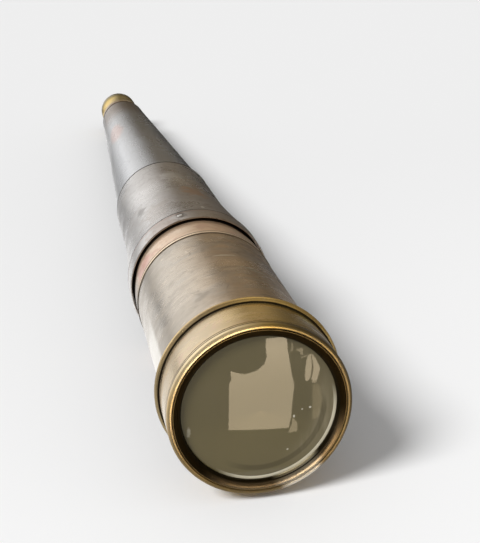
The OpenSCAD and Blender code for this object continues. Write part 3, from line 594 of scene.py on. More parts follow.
def worn_plate(name, spots, dirt, bands=(), inside=0.0, warm=0.0):
    """Silver-grey worn plating with brown stains and pits, browner towards the top, a greyer tone painted on
    the lit left side, and a painted dark left limb on the bell.

    Spots are marks at points of the surface, stains and a painted glint, bands are stains round the piece,
    and inside is the radius within which all is painted dark as shade."""
    tint = bpy.context.scene.spyglass_finish
    f = Finish(name, 1.0, Coat_Roughness=0.30)
    cloud = f.patches(26, 0.44, 0.62, warp=1.2, seed=1.0, stretch=(1, 1.2, 1))
    stain = f.patches(50, 0.54, 0.64, warp=1.6, seed=7.0)
    fine = f.patches(230, 0.48, 0.66, warp=1.0, seed=4.4)
    pits = f.specks(500, share=0.20, size=0.34)
    pale = f.specks(330, share=0.10, size=0.30)
    marks = f.marks(along=1300, across=50, seed=6.6)
    scuffs = f.scratches((0.7, 0.3, 1.1), length=60, fineness=420, width=0.014, share=0.43, seed=5.0)
    # Painted light: a greyer tone on the lit left and a painted dark left limb; browner towards the top.
    left = f.towards(-60, 0.2, 0.95)
    top = f.towards(5, 0.55, 0.98)
    edge = f.both(f.towards(-100, 0.80, 0.97), f.stations(station(145), station(205)))
    base = f.blend(
        tint.silver, (top, 0.40 + warm, (0.52, 0.42, 0.34)), (cloud, 0.32, tint.silver_dark),
        (stain, 0.36, (0.34, 0.24, 0.17)), (fine, 0.30, tint.silver_dark), (left, 0.55, (0.57, 0.56, 0.545)),
        (pits, 0.60, (0.13, 0.10, 0.075)), (pale, 0.40, (0.86, 0.83, 0.80)),
        (scuffs, 0.45, (0.90, 0.87, 0.84)), (edge, 0.70, (0.10, 0.09, 0.08)),
        *[(f.spot(centre, radius, 1.1, 240, (1, 0.5, 1)), strength, tone)
          for centre, radius, strength, tone in spots],
        *[(f.edge_line(place, half, half, half), strength, tone) for place, half, strength, tone in bands])
    rough = f.total(0.26, (cloud, 0.10), (fine, 0.10))
    bumps = [(cloud, 0.06, 0.0010), (marks, 0.03, 0.0002), (fine, 0.06, 0.0002), (pits, 0.35, 0.0002),
             (scuffs, 0.20, 0.0002)]
    # Within that radius all is painted dark as shade.
    hollow = [f.within(inside, 0.0002)] if inside else []
    return f.done(base, rough, bumps, f.lines(dirt, *hollow), coat=0.30)


def gunmetal_taper(front):
    """Smooth gunmetal with faint tints and long soft marks, tones painted by side and a painted dark left
    limb; dark at its joint with the bell.
    """
    tint = bpy.context.scene.spyglass_finish
    f = Finish("gunmetal", 1.0, Coat_Roughness=0.24)
    cloud = f.patches(20, 0.42, 0.62, warp=0.8, seed=5.5, stretch=(1, 0.7, 1))
    warm = f.patches(30, 0.54, 0.68, warp=0.9, seed=8.8)
    fine = f.patches(260, 0.45, 0.70, warp=0.3, seed=1.8)
    streak = f.patches(90, 0.46, 0.64, warp=0.4, seed=2.9, stretch=(1, 0.12, 1))
    # Painted light: a neutral tone on the lit left, a darker one on the right, and a painted dark left limb.
    left = f.towards(-52, 0.55, 0.98)
    right = f.towards(50, 0.2, 0.9)
    edge = f.towards(-100, 0.80, 0.97)
    copper = f.spot(on_surface(0.0206, station(398), -48), 0.008, 0.4, 60, (1, 0.24, 1))
    far = f.stations(station(330), station(450))
    warm_end = f.stations(station(430), station(484))
    base = f.blend(
        tint.gunmetal, (right, 0.45, (0.31, 0.31, 0.31)), (far, 0.66, (0.26, 0.255, 0.26)),
        (cloud, 0.30, (0.31, 0.31, 0.32)), (warm, 0.18, (0.54, 0.43, 0.36)), (streak, 0.30, (0.26, 0.25, 0.235)),
        (fine, 0.12, (0.26, 0.24, 0.23)), (left, 0.70, (0.62, 0.62, 0.62)), (far, 0.25, (0.26, 0.255, 0.26)),
        (copper, 0.45, (0.74, 0.42, 0.32)), (warm_end, 0.93, (0.14, 0.065, 0.008)), (edge, 0.80, (0.06, 0.06, 0.06)))
    rough = f.total(0.23, (cloud, 0.06), (streak, 0.05))
    return f.done(base, rough, [(cloud, 0.04, 0.0012), (fine, 0.03, 0.0002)], f.lines([(front, 0.0012)]), coat=0.30)


def cell_black(lens_radius, lip_radius):
    """Front of the cell: brass at the lip, a brown cone under painted shade, with a painted highlight
    at the lower right, and blackened and painted dark as shade next to the lens.
    """
    tint = bpy.context.scene.spyglass_finish
    f = Finish("cell_black", 1.0)
    rubbed = f.patches(110, 0.46, 0.66, warp=0.9, seed=2.7, stretch=(1, 2.0, 1))
    nicks = f.specks(560, share=0.09, size=0.3)
    marks = f.marks(along=4000, across=60, seed=9.1)
    # A painted highlight at the lower right of the cone and its wall; painted shade over the rest of the cone.
    highlight_side = f.towards(151, 0.93, 0.992)
    cone = f.within(lip_radius - 0.0004, 0.0004)
    # Next to the lens it is blackened, and painted dark as shade.
    deep = f.within(lens_radius + 0.0006, 0.0003)
    wall = f.both(f.within(lens_radius + 0.0003, 0.0002), highlight_side)
    matt = f.both(cone, f.math("SUBTRACT", 1.0, f.towards(158, 0.35, 0.85)))
    base = f.blend(
        f.mix(cone, (0.36, 0.25, 0.10), (0.15, 0.11, 0.065)), (rubbed, 0.35, (0.14, 0.10, 0.05)),
        (nicks, 0.5, (0.60, 0.46, 0.26)), (f.math("SUBTRACT", highlight_side, deep, clamp=True), 0.6, (0.62, 0.56, 0.46)),
        (matt, 0.96, (0.020, 0.012, 0.003)), (deep, 0.85, tint.black), (wall, 0.95, (1.0, 0.92, 0.74)))
    rough = f.total(0.24, (marks, 0.12), (matt, 0.5))
    return f.done(base, rough, [(marks, 0.15, 0.0001), (nicks, 0.2, 0.0001)])


def blackened():
    """Matt blackened brass, rubbed brown."""
    f = Finish("blackening", 0.6)
    rubbed = f.patches(120, 0.46, 0.66, warp=0.8, seed=2.7, stretch=(1, 2.0, 1))
    marks = f.marks(along=4000, across=60, seed=9.1)
    base = f.blend(bpy.context.scene.spyglass_finish.black, (rubbed, 0.5, (0.10, 0.07, 0.04)))
    return f.done(base, f.total(0.36, (marks, 0.16)), [(marks, 0.2, 0.0001)])


def plain_metal(name, tint, dark, rough):
    """A small or inner metal piece: fine turning marks and light tarnish."""
    f = Finish(name, 1.0)
    cloud = f.patches(110, 0.42, 0.66, warp=0.5, seed=3.9)
    marks = f.marks(along=3600, across=60, seed=5.2)
    return f.done(f.blend(tint, (cloud, 0.5, dark)), f.total(rough, (marks, 0.14)), [(marks, 0.1, 0.0001)])


# Dust on the objective: place and radius in millimetres, upright scale (less is taller) and strength
DUST = ((-25.4, 1.9, -6.4, 1.04, 0.35, 0.30), (18.0, 1.7, -0.9, 0.546, 1, 0.95), (15.1, 1.5, -1.3, 0.416, 1, 0.7),
        (12.1, 1.4, -3.7, 0.468, 0.7, 0.9), (10.0, 1.8, -16.9, 0.468, 1, 0.6))


def old_glass():
    """Objective glass under a thin olive film, with dust, and pale and dark arcs near its edge that are
    painted reflections of the cell.
    """
    tint = bpy.context.scene.spyglass_finish
    f = Finish("objective_glass", 0.0, Transmission_Weight=0.30, IOR=1.50, Roughness=0.025)
    film = f.patches(30, 0.38, 0.66, warp=0.5, seed=4.9)
    streaks = f.patches(160, 0.46, 0.62, warp=1.0, seed=3.3, stretch=(1, 1, 0.25))
    low = f.towards(145, 0.30, 0.75)
    lower = f.towards(180, -0.1, 0.95)
    edge = f.math("SUBTRACT", 1.0, f.within(0.0165, 0.0085))
    side = f.both(f.both(edge, f.towards(110, 0.55, 0.98)), f.total(0.5, (streaks, 0.5)))
    # The pale and the dark arc are painted reflections of the cell, towards the lower right.
    pale = f.both(f.ring(0.0276, 0.0007, 0.0002), low)
    dark = f.both(f.ring(0.0232, 0.0006, 0.0009), low)
    specks = [(f.spot((x * MM, station(y), z * MM), radius * MM, 0.5, 700, (1, 1, tall)),
               strength, (0.85, 0.78, 0.62))
              for x, y, z, radius, tall, strength in DUST]
    return f.done(f.blend(
        tint.haze, (film, 0.25, (0.135, 0.110, 0.044)), (lower, 0.45, (0.215, 0.172, 0.075)),
        (side, 0.75, (0.34, 0.285, 0.17)), (dark, 0.50, (0.075, 0.058, 0.024)), (pale, 0.96, (1.0, 0.91, 0.68)),
        *specks))


def clear_glass():
    """Clear inner lens glass with a faint film."""
    f = Finish("inner_glass", 0.0, Transmission_Weight=1.0, IOR=1.52, Roughness=0.02)
    film = f.patches(60, 0.40, 0.66, warp=0.4, seed=1.1)
    return f.done(f.blend((0.90, 0.91, 0.88), (film, 0.3, (0.80, 0.80, 0.74))))


# Operators, one for each piece or group of like pieces


class FrontRing(bpy.types.Operator):
    """Turns the bright lip ring and the cone that the objective lies behind, blackened next to the lens,
    with painted shade and a painted highlight
    """
    bl_idname = "spyglass.front_ring"
    bl_label = "Lip and cone"

    def execute(self, context):
        size = context.scene.spyglass_sizes
        front, back = span("objective_bezel")
        lip, cell = outer_radius("objective_bezel"), outer_radius("objective_cell")
        # Painted light on the lip: paler on the lit left and painted shade towards the lower right.
        brass = polished_brass("lip_brass", [(back, 0.00016)], dull=0.1, satin=0.16, worn=0.6, shade=0.8, extra=[
            # Its extras: a painted highlight at the upper left, painted shade on the right and below, a painted
            # glint.
            ("towards", (-35, 0.74, 0.99), 0.60, (1.0, 0.84, 0.54)),
            ("towards", (64, 0.2, 0.80), 0.90, (0.13, 0.095, 0.042)),
            ("towards", (190, -0.05, 0.70), 0.88, (0.14, 0.10, 0.045)),
            ("towards", (151, 0.955, 0.995), 0.80, (0.85, 0.78, 0.66))])
        shell("lip_ring", "objective_bezel", brass, [
            (cell, front, size.lip_round), (lip, front, size.lip_round),
            (lip, back - size.line_depth * GROOVE_SLOPE, FINE_EDGE), (lip - size.line_depth, back), (cell, back)], 8)
        cell_back = span("objective_cell")[1]
        bore = outer_radius("crown_lens") + FIT
        ledge_front = front + size.lens_set_back
        ledge_back = ledge_front + LEDGE
        flat = cell - FINE_EDGE
        hollow = [(flat - (flat - size.clear_radius) * math.sin(turn),
                   ledge_front - size.lens_set_back * math.cos(turn))
                  for turn in spread(math.pi / 2, 0.0, 16)]
        shell("lens_cell", "objective_cell", cell_black(size.clear_radius, cell), [
            *hollow, (cell, front + FINE_EDGE), (cell, cell_back), (bore, cell_back), (bore, ledge_back),
            (size.clear_radius, ledge_back)])
        return {"FINISHED"}


class ObjectiveLens(bpy.types.Operator):
    """Turns the convex front lens"""
    bl_idname = "spyglass.objective"
    bl_label = "Objective lens"

    def execute(self, context):
        size = context.scene.spyglass_sizes
        vertex, back = span("crown_lens")
        radii = spread(0.0, outer_radius("crown_lens"), 28)
        front = [(r, sphere_place(vertex, size.front_curve, r)) for r in radii]
        rear = [(r, sphere_place(back, -CROWN_BACK_CURVE, r)) for r in reversed(radii)]
        lens = turned("front_lens", front + rear, closed=False)
        sits(lens, "barrel", old_glass(), "crown_lens")
        return {"FINISHED"}


class FrontBand(bpy.types.Operator):
    """Turns the smooth band with its fine line, and the raised bead behind it"""
    bl_idname = "spyglass.band"
    bl_label = "Band and bead"

    def execute(self, context):
        size = context.scene.spyglass_sizes
        deep = size.line_depth
        front, back = span("front_band")
        band, inner = outer_radius("front_band"), outer_radius("objective_cell")
        line, half_line, line_round = front + 0.00115, 0.0002, 0.00005
        step = inner - 0.0008
        # Painted light on the band: paler on the lit left and more orange on the right.
        brass = polished_brass("band_brass", [(front, 0.00014), (line, 0.00012), (back, 0.00008)], worn=1.0,
                               glow=0.35, extra=[
            # Painted shade towards the right limb, a painted glint, and a green stain.
            ("towards", (52, 0.58, 0.97), 0.68, (0.20, 0.135, 0.035)),
            ("spot", (on_surface(band, station(7.4), 48), 0.0030, 0.15, 300, (0.3, 4.0, 0.3)), 0.95,
             (1.0, 0.97, 0.90)),
            ("spot", (on_surface(band, station(16), 38), 0.006, 0.8), 0.4, (0.62, 0.60, 0.22))])
        shell("smooth_band", "front_band", brass, [
            (inner, front), (band - deep, front), (band, front + deep * GROOVE_SLOPE, FINE_EDGE),
            (band, line - half_line, line_round), (band - deep, line), (band, line + half_line, line_round),
            (band, back), (step, back), (step, back - 0.003), (inner, back - 0.004)])
        front, back = span("bead_ring")
        high = size.bead_radius - band
        middle, half, seat = (front + back) / 2, (back - front) / 2, inner - FIT
        crest = [(band + high * math.cos(turn), middle + half * math.sin(turn))
                 for turn in spread(-math.pi / 2, math.pi / 2, 30)]
        # Painted light on the bead: paler on the lit left, more orange on the right, painted shade on its left limb.
        brass = polished_brass("bead_brass", [(front, 0.00009), (back, 0.00012)], dull=0.1, worn=0.6, glow=0.4,
                               extra=[("towards", (-102, 0.72, 0.97), 0.82, (0.20, 0.15, 0.07))])
        shell("bead", "bead_ring", brass, [(seat, front), *crest, (seat, back)])
        return {"FINISHED"}


class ObjectiveTube(bpy.types.Operator):
    """Turns the brown objective tube"""
    bl_idname = "spyglass.tube"
    bl_label = "Objective tube"

    def execute(self, context):
        front, back = span("objective_tube")
        bead, collar = span("bead_ring")[1], span("tube_collar")[0]
        outer = context.scene.spyglass_sizes.tube_radius
        seat, inner = outer - TUBE_SEAT_STEP, outer - TUBE_WALL
        shell("objective_tube_shell", "objective_tube",
              brown_tube(outer, [(bead, 0.0003), (collar, 0.0003)]), [
                  (inner, front), (seat, front), (seat, bead), *[(outer, y) for y in spread(bead, collar, 24)],
                  (seat, collar), (seat, back), (inner, back)])
        return {"FINISHED"}


class Collar(bpy.types.Operator):
    """Turns the pinkish collar with its spigot in the mouth"""
    bl_idname = "spyglass.collar"
    bl_label = "Collar"

    def execute(self, context):
        size = context.scene.spyglass_sizes
        front, back = span("tube_collar")
        outer = outer_radius("tube_collar")
        inner = size.tube_radius - TUBE_SEAT_STEP
        spigot = outer_radius("mouth_ring") - RIM_WALL - size.mouth_gap
        spigot_bore = spigot - SPIGOT_WALL
        shoulder = span("mouth_ring")[0] - FACE_GAP
        bend = front + (shoulder - front) * 0.7
        bend_radius = outer - (outer - spigot) * 0.35
        shell("collar_shell", "tube_collar", rose_collar(front, shoulder), [
            (inner, front), (outer, front, size.edge_round), (outer - 0.00005, front + 0.002),
            (bend_radius, bend, 0.02), (spigot, shoulder, 0.01), (spigot, back), (spigot_bore, back),
            (spigot_bore, front + TUBE_SEAT), (inner, front + TUBE_SEAT)])
        return {"FINISHED"}


def add_screw(bm, top, place, degrees):
    """Adds a slotted screw head that points away from the axis."""
    radius = SCREW_RADIUS
    head = bmesh.new()
    bmesh.ops.create_circle(head, cap_ends=True, segments=32, radius=radius)
    grown = bmesh.ops.extrude_face_region(head, geom=head.faces[:])
    crown = [v for v in grown["geom"] if isinstance(v, bmesh.types.BMVert)]
    bmesh.ops.translate(head, verts=crown, vec=(0, 0, radius))
    rim = [e for e in head.edges if all(v in crown for v in e.verts)]
    bmesh.ops.bevel(head, geom=rim, offset=radius * 0.22, offset_type="OFFSET", affect="EDGES", segments=3,
                    profile=0.5, material=-1, clamp_overlap=True)
    bmesh.ops.recalc_face_normals(head, faces=head.faces)
    flat = [f for f in head.faces if len(f.verts) > 4 and f.normal.z > 0.9]
    bmesh.ops.inset_region(head, faces=flat, thickness=radius * 0.06)
    slot_half, slot_depth = radius * 0.13, radius * 0.3
    for side in (-slot_half, slot_half):
        around_flat = set(flat) | {e for f in flat for e in f.edges} | {v for f in flat for v in f.verts}
        cut = bmesh.ops.bisect_plane(head, geom=list(around_flat), plane_co=(side, 0, 0), plane_no=(1, 0, 0))
        flat = [f for f in cut["geom"] if isinstance(f, bmesh.types.BMFace)]
    strip = [f for f in flat if abs(f.calc_center_median().x) < slot_half / 2]
    sunk = bmesh.ops.extrude_face_region(head, geom=strip)
    bottom = [v for v in sunk["geom"] if isinstance(v, bmesh.types.BMVert)]
    bmesh.ops.translate(head, verts=bottom, vec=(0, 0, -slot_depth))
    bmesh.ops.delete(head, geom=[f for f in strip if f.is_valid], context="FACES_ONLY")
    outwards = Matrix.Rotation(math.radians(degrees), 4, "Y") @ Matrix.Translation((0, place, top - radius))
    slot_turn = Matrix.Rotation(0.6, 4, "Z")
    bmesh.ops.transform(head, matrix=outwards @ slot_turn, verts=head.verts)
    mesh = bpy.data.meshes.new("screw_head")
    head.to_mesh(mesh)
    head.free()
    bm.from_mesh(mesh)
    bpy.data.meshes.remove(mesh)


def screw_heads(name, node, top, place, turns, metal):
    """Slotted screw heads round a band, as the one piece that stands for a CAD node."""
    bm = bmesh.new()
    for degrees in turns:
        add_screw(bm, top, place, degrees)
    sits(finish_mesh(name, bm), "barrel", metal, node)


class Mouth(bpy.types.Operator):
    """Turns the rim band of the flared mouth and its small screws"""
    bl_idname = "spyglass.mouth"
    bl_label = "Mouth ring and screws"

    def execute(self, context):
        size = context.scene.spyglass_sizes
        front, back = span("mouth_ring")
        outer = outer_radius("mouth_ring")
        inner = outer - RIM_WALL
        spigot = inner - size.mouth_gap
        band_back = span("barrel_bell")[0] - FACE_GAP
        floor = front + size.mouth_depth
        tail = outer - 0.0021
        screw_place = front + 0.007
        stains = [(on_surface(outer, front + 0.002, -30), 0.010, 0.4, (0.30, 0.19, 0.12)),
                  (on_surface(outer, screw_place, -14), 0.0034, 0.85, (0.10, 0.075, 0.05))]
        # Within its inner radius the band is painted dark as shade, in the gap.
        plate = worn_plate("mouth_plate", stains, [(band_back, 0.0004)],
                           [(band_back - 0.0018, 0.0004, 0.45, (0.46, 0.25, 0.18))], inside=inner - 0.0004, warm=0.2)
        shell("mouth_band", "mouth_ring", plate, [
            (inner, floor), (inner, front, 0.00036), (outer, front, 0.00040), (outer, band_back, 0.00015),
            (tail, band_back), (tail, back), (spigot, back), (spigot, floor)], 6)
        steel = plain_metal("screw_steel", (0.92, 0.90, 0.86), (0.60, 0.56, 0.50), 0.20)
        screw_heads("rim_screws", "mouth_screws", outer + 0.0001, screw_place, (-14, 106, -134), steel)
        return {"FINISHED"}


class Bell(bpy.types.Operator):
    """Turns the silver-grey flared bell"""
    bl_idname = "spyglass.bell"
    bl_label = "Bell"

    def execute(self, context):
        size = context.scene.spyglass_sizes
        front, back = span("barrel_bell")
        mouth, waist, wall = outer_radius("barrel_bell"), size.waist_radius, size.shell_wall
        rear = outer_radius("cone_joint_ring") + wall
        flare = [(waist + (mouth - waist) * (1 - t) ** 1.5, front + size.flare_length * t)
                 for t in spread(0.0, 1.0, 40)]
        inner_mouth = mouth - wall * 1.6
        inner_flare = flare[5:]
        stains = [(on_surface(radius, station(y), degrees), reach, strength, tone)
                  for radius, y, degrees, reach, strength, tone in (
                      (0.0292, 186, 15, 0.0070, 0.75, (0.56, 0.34, 0.19)),
                      (0.0288, 198, 22, 0.0055, 0.50, (0.50, 0.33, 0.20)),
                      (0.0288, 190, 5, 0.0035, 0.45, (0.55, 0.36, 0.22)),
                      (0.0282, 219, 0, 0.0070, 0.55, (0.88, 0.86, 0.83)),
                      # The next is no stain but a painted glint near the joint with the mouth.
                      (0.0319, 145.7, 8.6, 0.0013, 0.90, (1.0, 0.98, 0.90)),
                      (0.0314, 160, -30, 0.0120, 0.30, (0.40, 0.31, 0.24)),
                      (0.0312, 181, -46, 0.0045, 0.60, (0.14, 0.11, 0.09)),
                      (0.0280, 234, 28, 0.0170, 0.40, (0.30, 0.28, 0.26)))]
        plate = worn_plate("bell_plate", stains, [(front, 0.0004), (back, 0.0012)])
        shell("bell_shell", "barrel_bell", plate, [
            (inner_mouth, front), *flare, (rear, back - 0.0002, FINE_EDGE), (rear - 0.0002, back),
            (rear - wall, back), *[(r - wall, y) for r, y in reversed(inner_flare)],
            (inner_mouth, inner_flare[0][1])])
        return {"FINISHED"}


class Taper(bpy.types.Operator):
    """Turns the long gunmetal taper"""
    bl_idname = "spyglass.taper"
    bl_label = "Taper"

    def execute(self, context):
        front, back = span("cone_barrel")
        wide, wall = outer_radius("cone_barrel"), context.scene.spyglass_sizes.shell_wall
        outside = list(zip(spread(wide, TAPER_BACK_RADIUS, 40), spread(front, back, 40)))[1:]
        shell("taper_shell", "cone_barrel", gunmetal_taper(front), [
            (wide - wall, front), (wide, front, 0.0003), *outside, *[(r - wall, y) for r, y in reversed(outside)]])
        return {"FINISHED"}


class Ferrule(bpy.types.Operator):
    """Turns the brass ferrule on the taper's small end, and its screws"""
    bl_idname = "spyglass.ferrule"
    bl_label = "Ferrule and screws"

    def execute(self, context):
        front, back = span("draw_collar")
        taper_back = span("cone_barrel")[1]
        liner, liner_back = outer_radius("guide_liner"), span("guide_liner")[1]
        bore = outer_radius("draw_tube") + 0.00035
        guide = 0.01385
        spigot, spigot_front = 0.0157, taper_back - 0.013
        foot, foot_front, top = 0.0168, taper_back + FACE_GAP, 0.0156
        # Painted shade towards the lower right; the extra makes it darker copper-brown towards the left.
        brass = polished_brass("ferrule_brass", [(foot_front, 0.0004)], dull=0.15, satin=0.05, shade=0.6,
                               extra=[("towards", (-75, -0.2, 0.8), 0.90, (0.22, 0.11, 0.03))])
        shell("ferrule_shell", "draw_collar", brass, [
            (liner, front), (guide, front), (guide, spigot_front), (0.0161, spigot_front), (spigot, taper_back),
            (spigot, foot_front), (foot, foot_front, 0.0003), (top, back - 0.0012, 0.002),
            (top - 0.0006, back, 0.0004), (bore, back, 0.0001), (bore, liner_back), (liner, liner_back)])
        steel = plain_metal("ferrule_screw_steel", (0.50, 0.48, 0.45), (0.25, 0.22, 0.19), 0.28)
        screw_heads("ferrule_screws", "collar_screws", 0.01686, taper_back - 0.0065, (180, -60, 60), steel)
        return {"FINISHED"}


class EyeCup(bpy.types.Operator):
    """Turns the flared eye cup with its dished face"""
    bl_idname = "spyglass.eye_cup"
    bl_label = "Eye cup"

    def execute(self, context):
        front, back = span("eye_cup")
        draw, draw_back = outer_radius("draw_tube"), span("draw_tube")[1]
        neck, cup, hole = draw + 0.0006, outer_radius("eye_cup"), 0.0032
        flare, rim, dish = front + 0.014, front + 0.029, back - 0.0024
        curve = [(neck + (cup - neck) * t * t, flare + (rim - flare) * t) for t in spread(0.0, 1.0, 16)]
        # Painted light on the eye cup: a painted highlight at the upper left, painted shade on the right and rim.
        brass = polished_brass("eye_cup_brass", [(front, 0.0010)], dull=0.1, satin=0.03, extra=[
            ("towards", (-60, 0.2, 0.9), 0.6, (0.74, 0.50, 0.06)),
            ("towards", (40, 0.05, 0.90), 0.80, (0.27, 0.20, 0.04)),
            ("edge_line", (back, 0.0050, 0.007, 0.002), 0.9, (0.16, 0.125, 0.04))])
        shell("eye_cup_shell", "eye_cup", brass, [
            (draw, front), (neck, front, 0.0002), *curve, (cup, back, 0.0008), (cup - CUP_WALL, back, 0.00035),
            (cup - CUP_WALL, dish, 0.0004), (hole, dish, 0.0004), (hole, draw_back), (draw, draw_back)], 6, "draw")
        return {"FINISHED"}


class DrawTube(bpy.types.Operator):
    """Turns the bright draw tube"""
    bl_idname = "spyglass.draw"
    bl_label = "Draw tube"

    def execute(self, context):
        front, back = span("draw_tube")
        outer = outer_radius("draw_tube")
        inner = outer - DRAW_WALL
        bright = plain_metal("draw_brass", (0.78, 0.62, 0.34), (0.50, 0.37, 0.18), 0.16)
        shell("draw_tube_shell", "draw_tube", bright, [
            (inner, front), *[(outer, y) for y in spread(front, back, 24)], (inner, back)], body="draw")
        return {"FINISHED"}


class InnerPieces(bpy.types.Operator):
    """Gives the inner pieces, the shutter and its fittings their finishes"""
    bl_idname = "spyglass.inner"
    bl_label = "Inner pieces"

    def execute(self, context):
        made = {"dull_brass": plain_metal("dull_brass", (0.46, 0.36, 0.20), (0.24, 0.17, 0.09), 0.34),
                "steel": plain_metal("fitting_steel", (0.55, 0.54, 0.52), (0.28, 0.26, 0.24), 0.26),
                "blackened": blackened(), "optical_glass": clear_glass()}
        slots = {row["node"]: row["material_slot"] for row in frame["record"]["subparts"]}
        for name, node in frame["nodes"].items():
            if node.hide_render:
                continue
            if slots[name] not in made:
                raise RuntimeError(name + " has no finish")
            node.data.materials.clear()
            node.data.materials.append(made[slots[name]])
        return {"FINISHED"}


# Stage: the floor leans a little, as the camera of the photograph has it

FLOOR_SLOPE = 0.0384
FLOOR_LEVEL = -0.035
FLOOR_HALF = 14.0
FAR_FLOOR_SHADE = 0.885
CAMERA_PLACE = Vector((-0.0682, -0.3211, 0.1665))
CAMERA_RIGHT = Vector((0.97954, -0.20123, -0.00793))
CAMERA_UP = Vector((0.07707, 0.33818, 0.93795))
CAMERA_BACK = Vector((-0.18606, -0.91931, 0.34677))
FOCAL_PIXELS = 1000.0
FRAME_HEIGHT = 543.0
SENSOR = 36.0

WHITE = (1, 1, 1)
WARM = (1.0, 0.82, 0.58)
CARD_CENTRE = Vector((0, 0.15, 0))
CARD_DISTANCE = 4.0

# Glowing cards: bearing and height from straight behind the spyglass, and half their width and height, all in
# degrees, then strength, the fading share of half the width and height, and tint
CARDS = {
    "left_back_box": (-43, 20, 47, 36, 1.32, (0.66, 0.38), WHITE),
    "back_box": (14, 22, 16, 18, 0.30, (0.9, 0.9), (1.0, 0.86, 0.66)),
    "overhead_box": (10, 66, 42, 30, 0.60, (0.8, 0.8), (1.0, 0.90, 0.74)),
    "front_high_box": (172, 30, 46, 36, 0.29, (0.6, 0.5), (1.0, 0.88, 0.66)),
    "front_box": (-140, 30, 34, 22, 0.35, (0.7, 0.7), WHITE),
}

# Glowing sheets on the floor: strength, height above it, tint, a change of strength along the axis (from this
# place to that one, to this strength) and the corners of each outline in millimetres
# dark_sheet, band_sheet and front_sheet make the floor look shaded in polished surfaces; the rest make reflections
SHEETS = {
    "dark_sheet": (0.06, 0.0004, WHITE, None, [
        [(70, 160), (176, 394), (455, 1010), (1800, 4000), (300, 4000), (30, 560), (34, 300), (52, 120)]]),
    "band_sheet": (0.21, 0.0004, WHITE, None, [
        [(58, -10), (300, -60), (2600, 0), (2600, 4000), (1800, 4000), (455, 1010), (176, 394), (70, 160),
         (52, 120)]]),
    "front_sheet": (0.42, 0.0003, WHITE, None, [[(-900, -30), (-900, -1500), (900, -1500), (900, -30)]]),
    "left_sheet": (1.0, 0.0004, WHITE, (0.20, 0.40, 0.36), [
        [(-400, -40), (-62, -40), (-52, 200), (-36, 640), (-400, 640)]]),
    "far_left_sheet": (0.90, 0.0004, WHITE, (0.74, 1.10, 0.50), [[(-400, 640), (-36, 640), (-400, 2000)]]),
    "near_sheet": (1.10, 0.0004, WHITE, None, [[(-62, -40), (-20, -40), (-5, 560), (-36, 640), (-52, 200)]]),
    "pale_sheet": (5.6, 0.0006, WARM, (-0.08, -0.26, 7.4), [
        [(-6, -67), (2, -141), (5, -153), (7, -177), (11, -170), (18, -163), (29, -169), (40, -187), (48, -211),
         (58, -259), (69, -306), (93, -301), (91, -280), (76, -229), (54, -146), (48, -121), (37, -92), (30, -72),
         (25, -61)]]),
    "pale_strips": (6.2, 0.0006, WARM, None, [
        [(91, -197), (85, -190), (77, -173), (68, -152), (59, -128), (59, -123), (63, -128), (67, -136), (75, -154),
         (83, -175)],
        [(91, -196), (90, -187), (87, -173), (80, -147), (72, -132), (66, -121), (62, -119), (64, -127), (74, -148),
         (84, -175)]]),
    "pale_scraps": (3.7, 0.0006, WARM, None, [
        [(84, -224), (92, -225), (89, -215), (84, -211), (83, -218)],
        [(84, -211), (89, -215), (82, -196), (81, -200)],
        [(77, -188), (80, -187), (86, -193), (86, -196), (81, -191), (78, -190)],
        [(91, -262), (90, -253), (80, -223), (75, -217), (70, -209), (71, -213), (76, -221), (81, -230)],
        [(61, -120), (63, -121), (66, -118), (63, -117), (61, -118)],
        [(23, -56), (28, -56), (31, -64), (31, -72), (28, -65), (25, -59)]]),
    "faint_strip": (1.7, 0.0006, WARM, None, [[(60, -115), (65, -114), (56, -87), (44, -66), (40, -65)]]),
}


def heading(bearing, height):
    """Unit vector of a bearing from straight behind, to the right, and a height, in degrees."""
    a, e = math.radians(bearing), math.radians(height)
    return Vector((math.sin(a) * math.cos(e), math.cos(a) * math.cos(e), math.sin(e)))


def face_from(item, way):
    """Turns a card or a lamp that stands that way so that it faces the spyglass."""
    item.rotation_mode = "QUATERNION"
    item.rotation_quaternion = way.to_track_quat("Z", "Y")


def light_material(name, tint, strength, soft=None, along=None):
    """A glow that may fade out at the sides of a card (soft) or change from one place to another (along)."""
    material = bpy.data.materials.new(name)
    material.use_nodes = True
    n = Nodes(material.node_tree)
    n.tree.nodes.remove(n.tree.nodes["Principled BSDF"])
    axes = n.add("ShaderNodeSeparateXYZ", {0: n.add("ShaderNodeTexCoord").outputs["Object"]}).outputs
    if along:
        start, end, end_strength = along
        strength = n.ramp(axes[1], start, end, strength, end_strength)
    first = n.math("LESS_THAN", n.add("ShaderNodeLightPath").outputs["Diffuse Depth"], 0.5)
    glow = n.add("ShaderNodeEmission", {"Color": (*tint, 1.0), "Strength": n.both(first, strength)}).outputs[0]
    if soft:
        mask = 1.0
        for axis, (half, fade) in zip(axes, soft):
            mask = n.both(mask, n.ramp(n.math("ABSOLUTE", axis), half, half * (1 - fade)))
        clear = n.add("ShaderNodeBsdfTransparent").outputs[0]
        glow = n.add("ShaderNodeMixShader", {0: mask, 1: clear, 2: glow}).outputs[0]
    n.plug(glow, n.tree.nodes["Material Output"].inputs["Surface"])
    return material


def mirrored_only(item, glow):
    """Makes an object of the stage glow in polished surfaces alone."""
    item.data.materials.append(glow)
    item.visible_camera = False
    item.visible_diffuse = False
    item.visible_transmission = False
    item.visible_volume_scatter = False
    item.visible_shadow = False


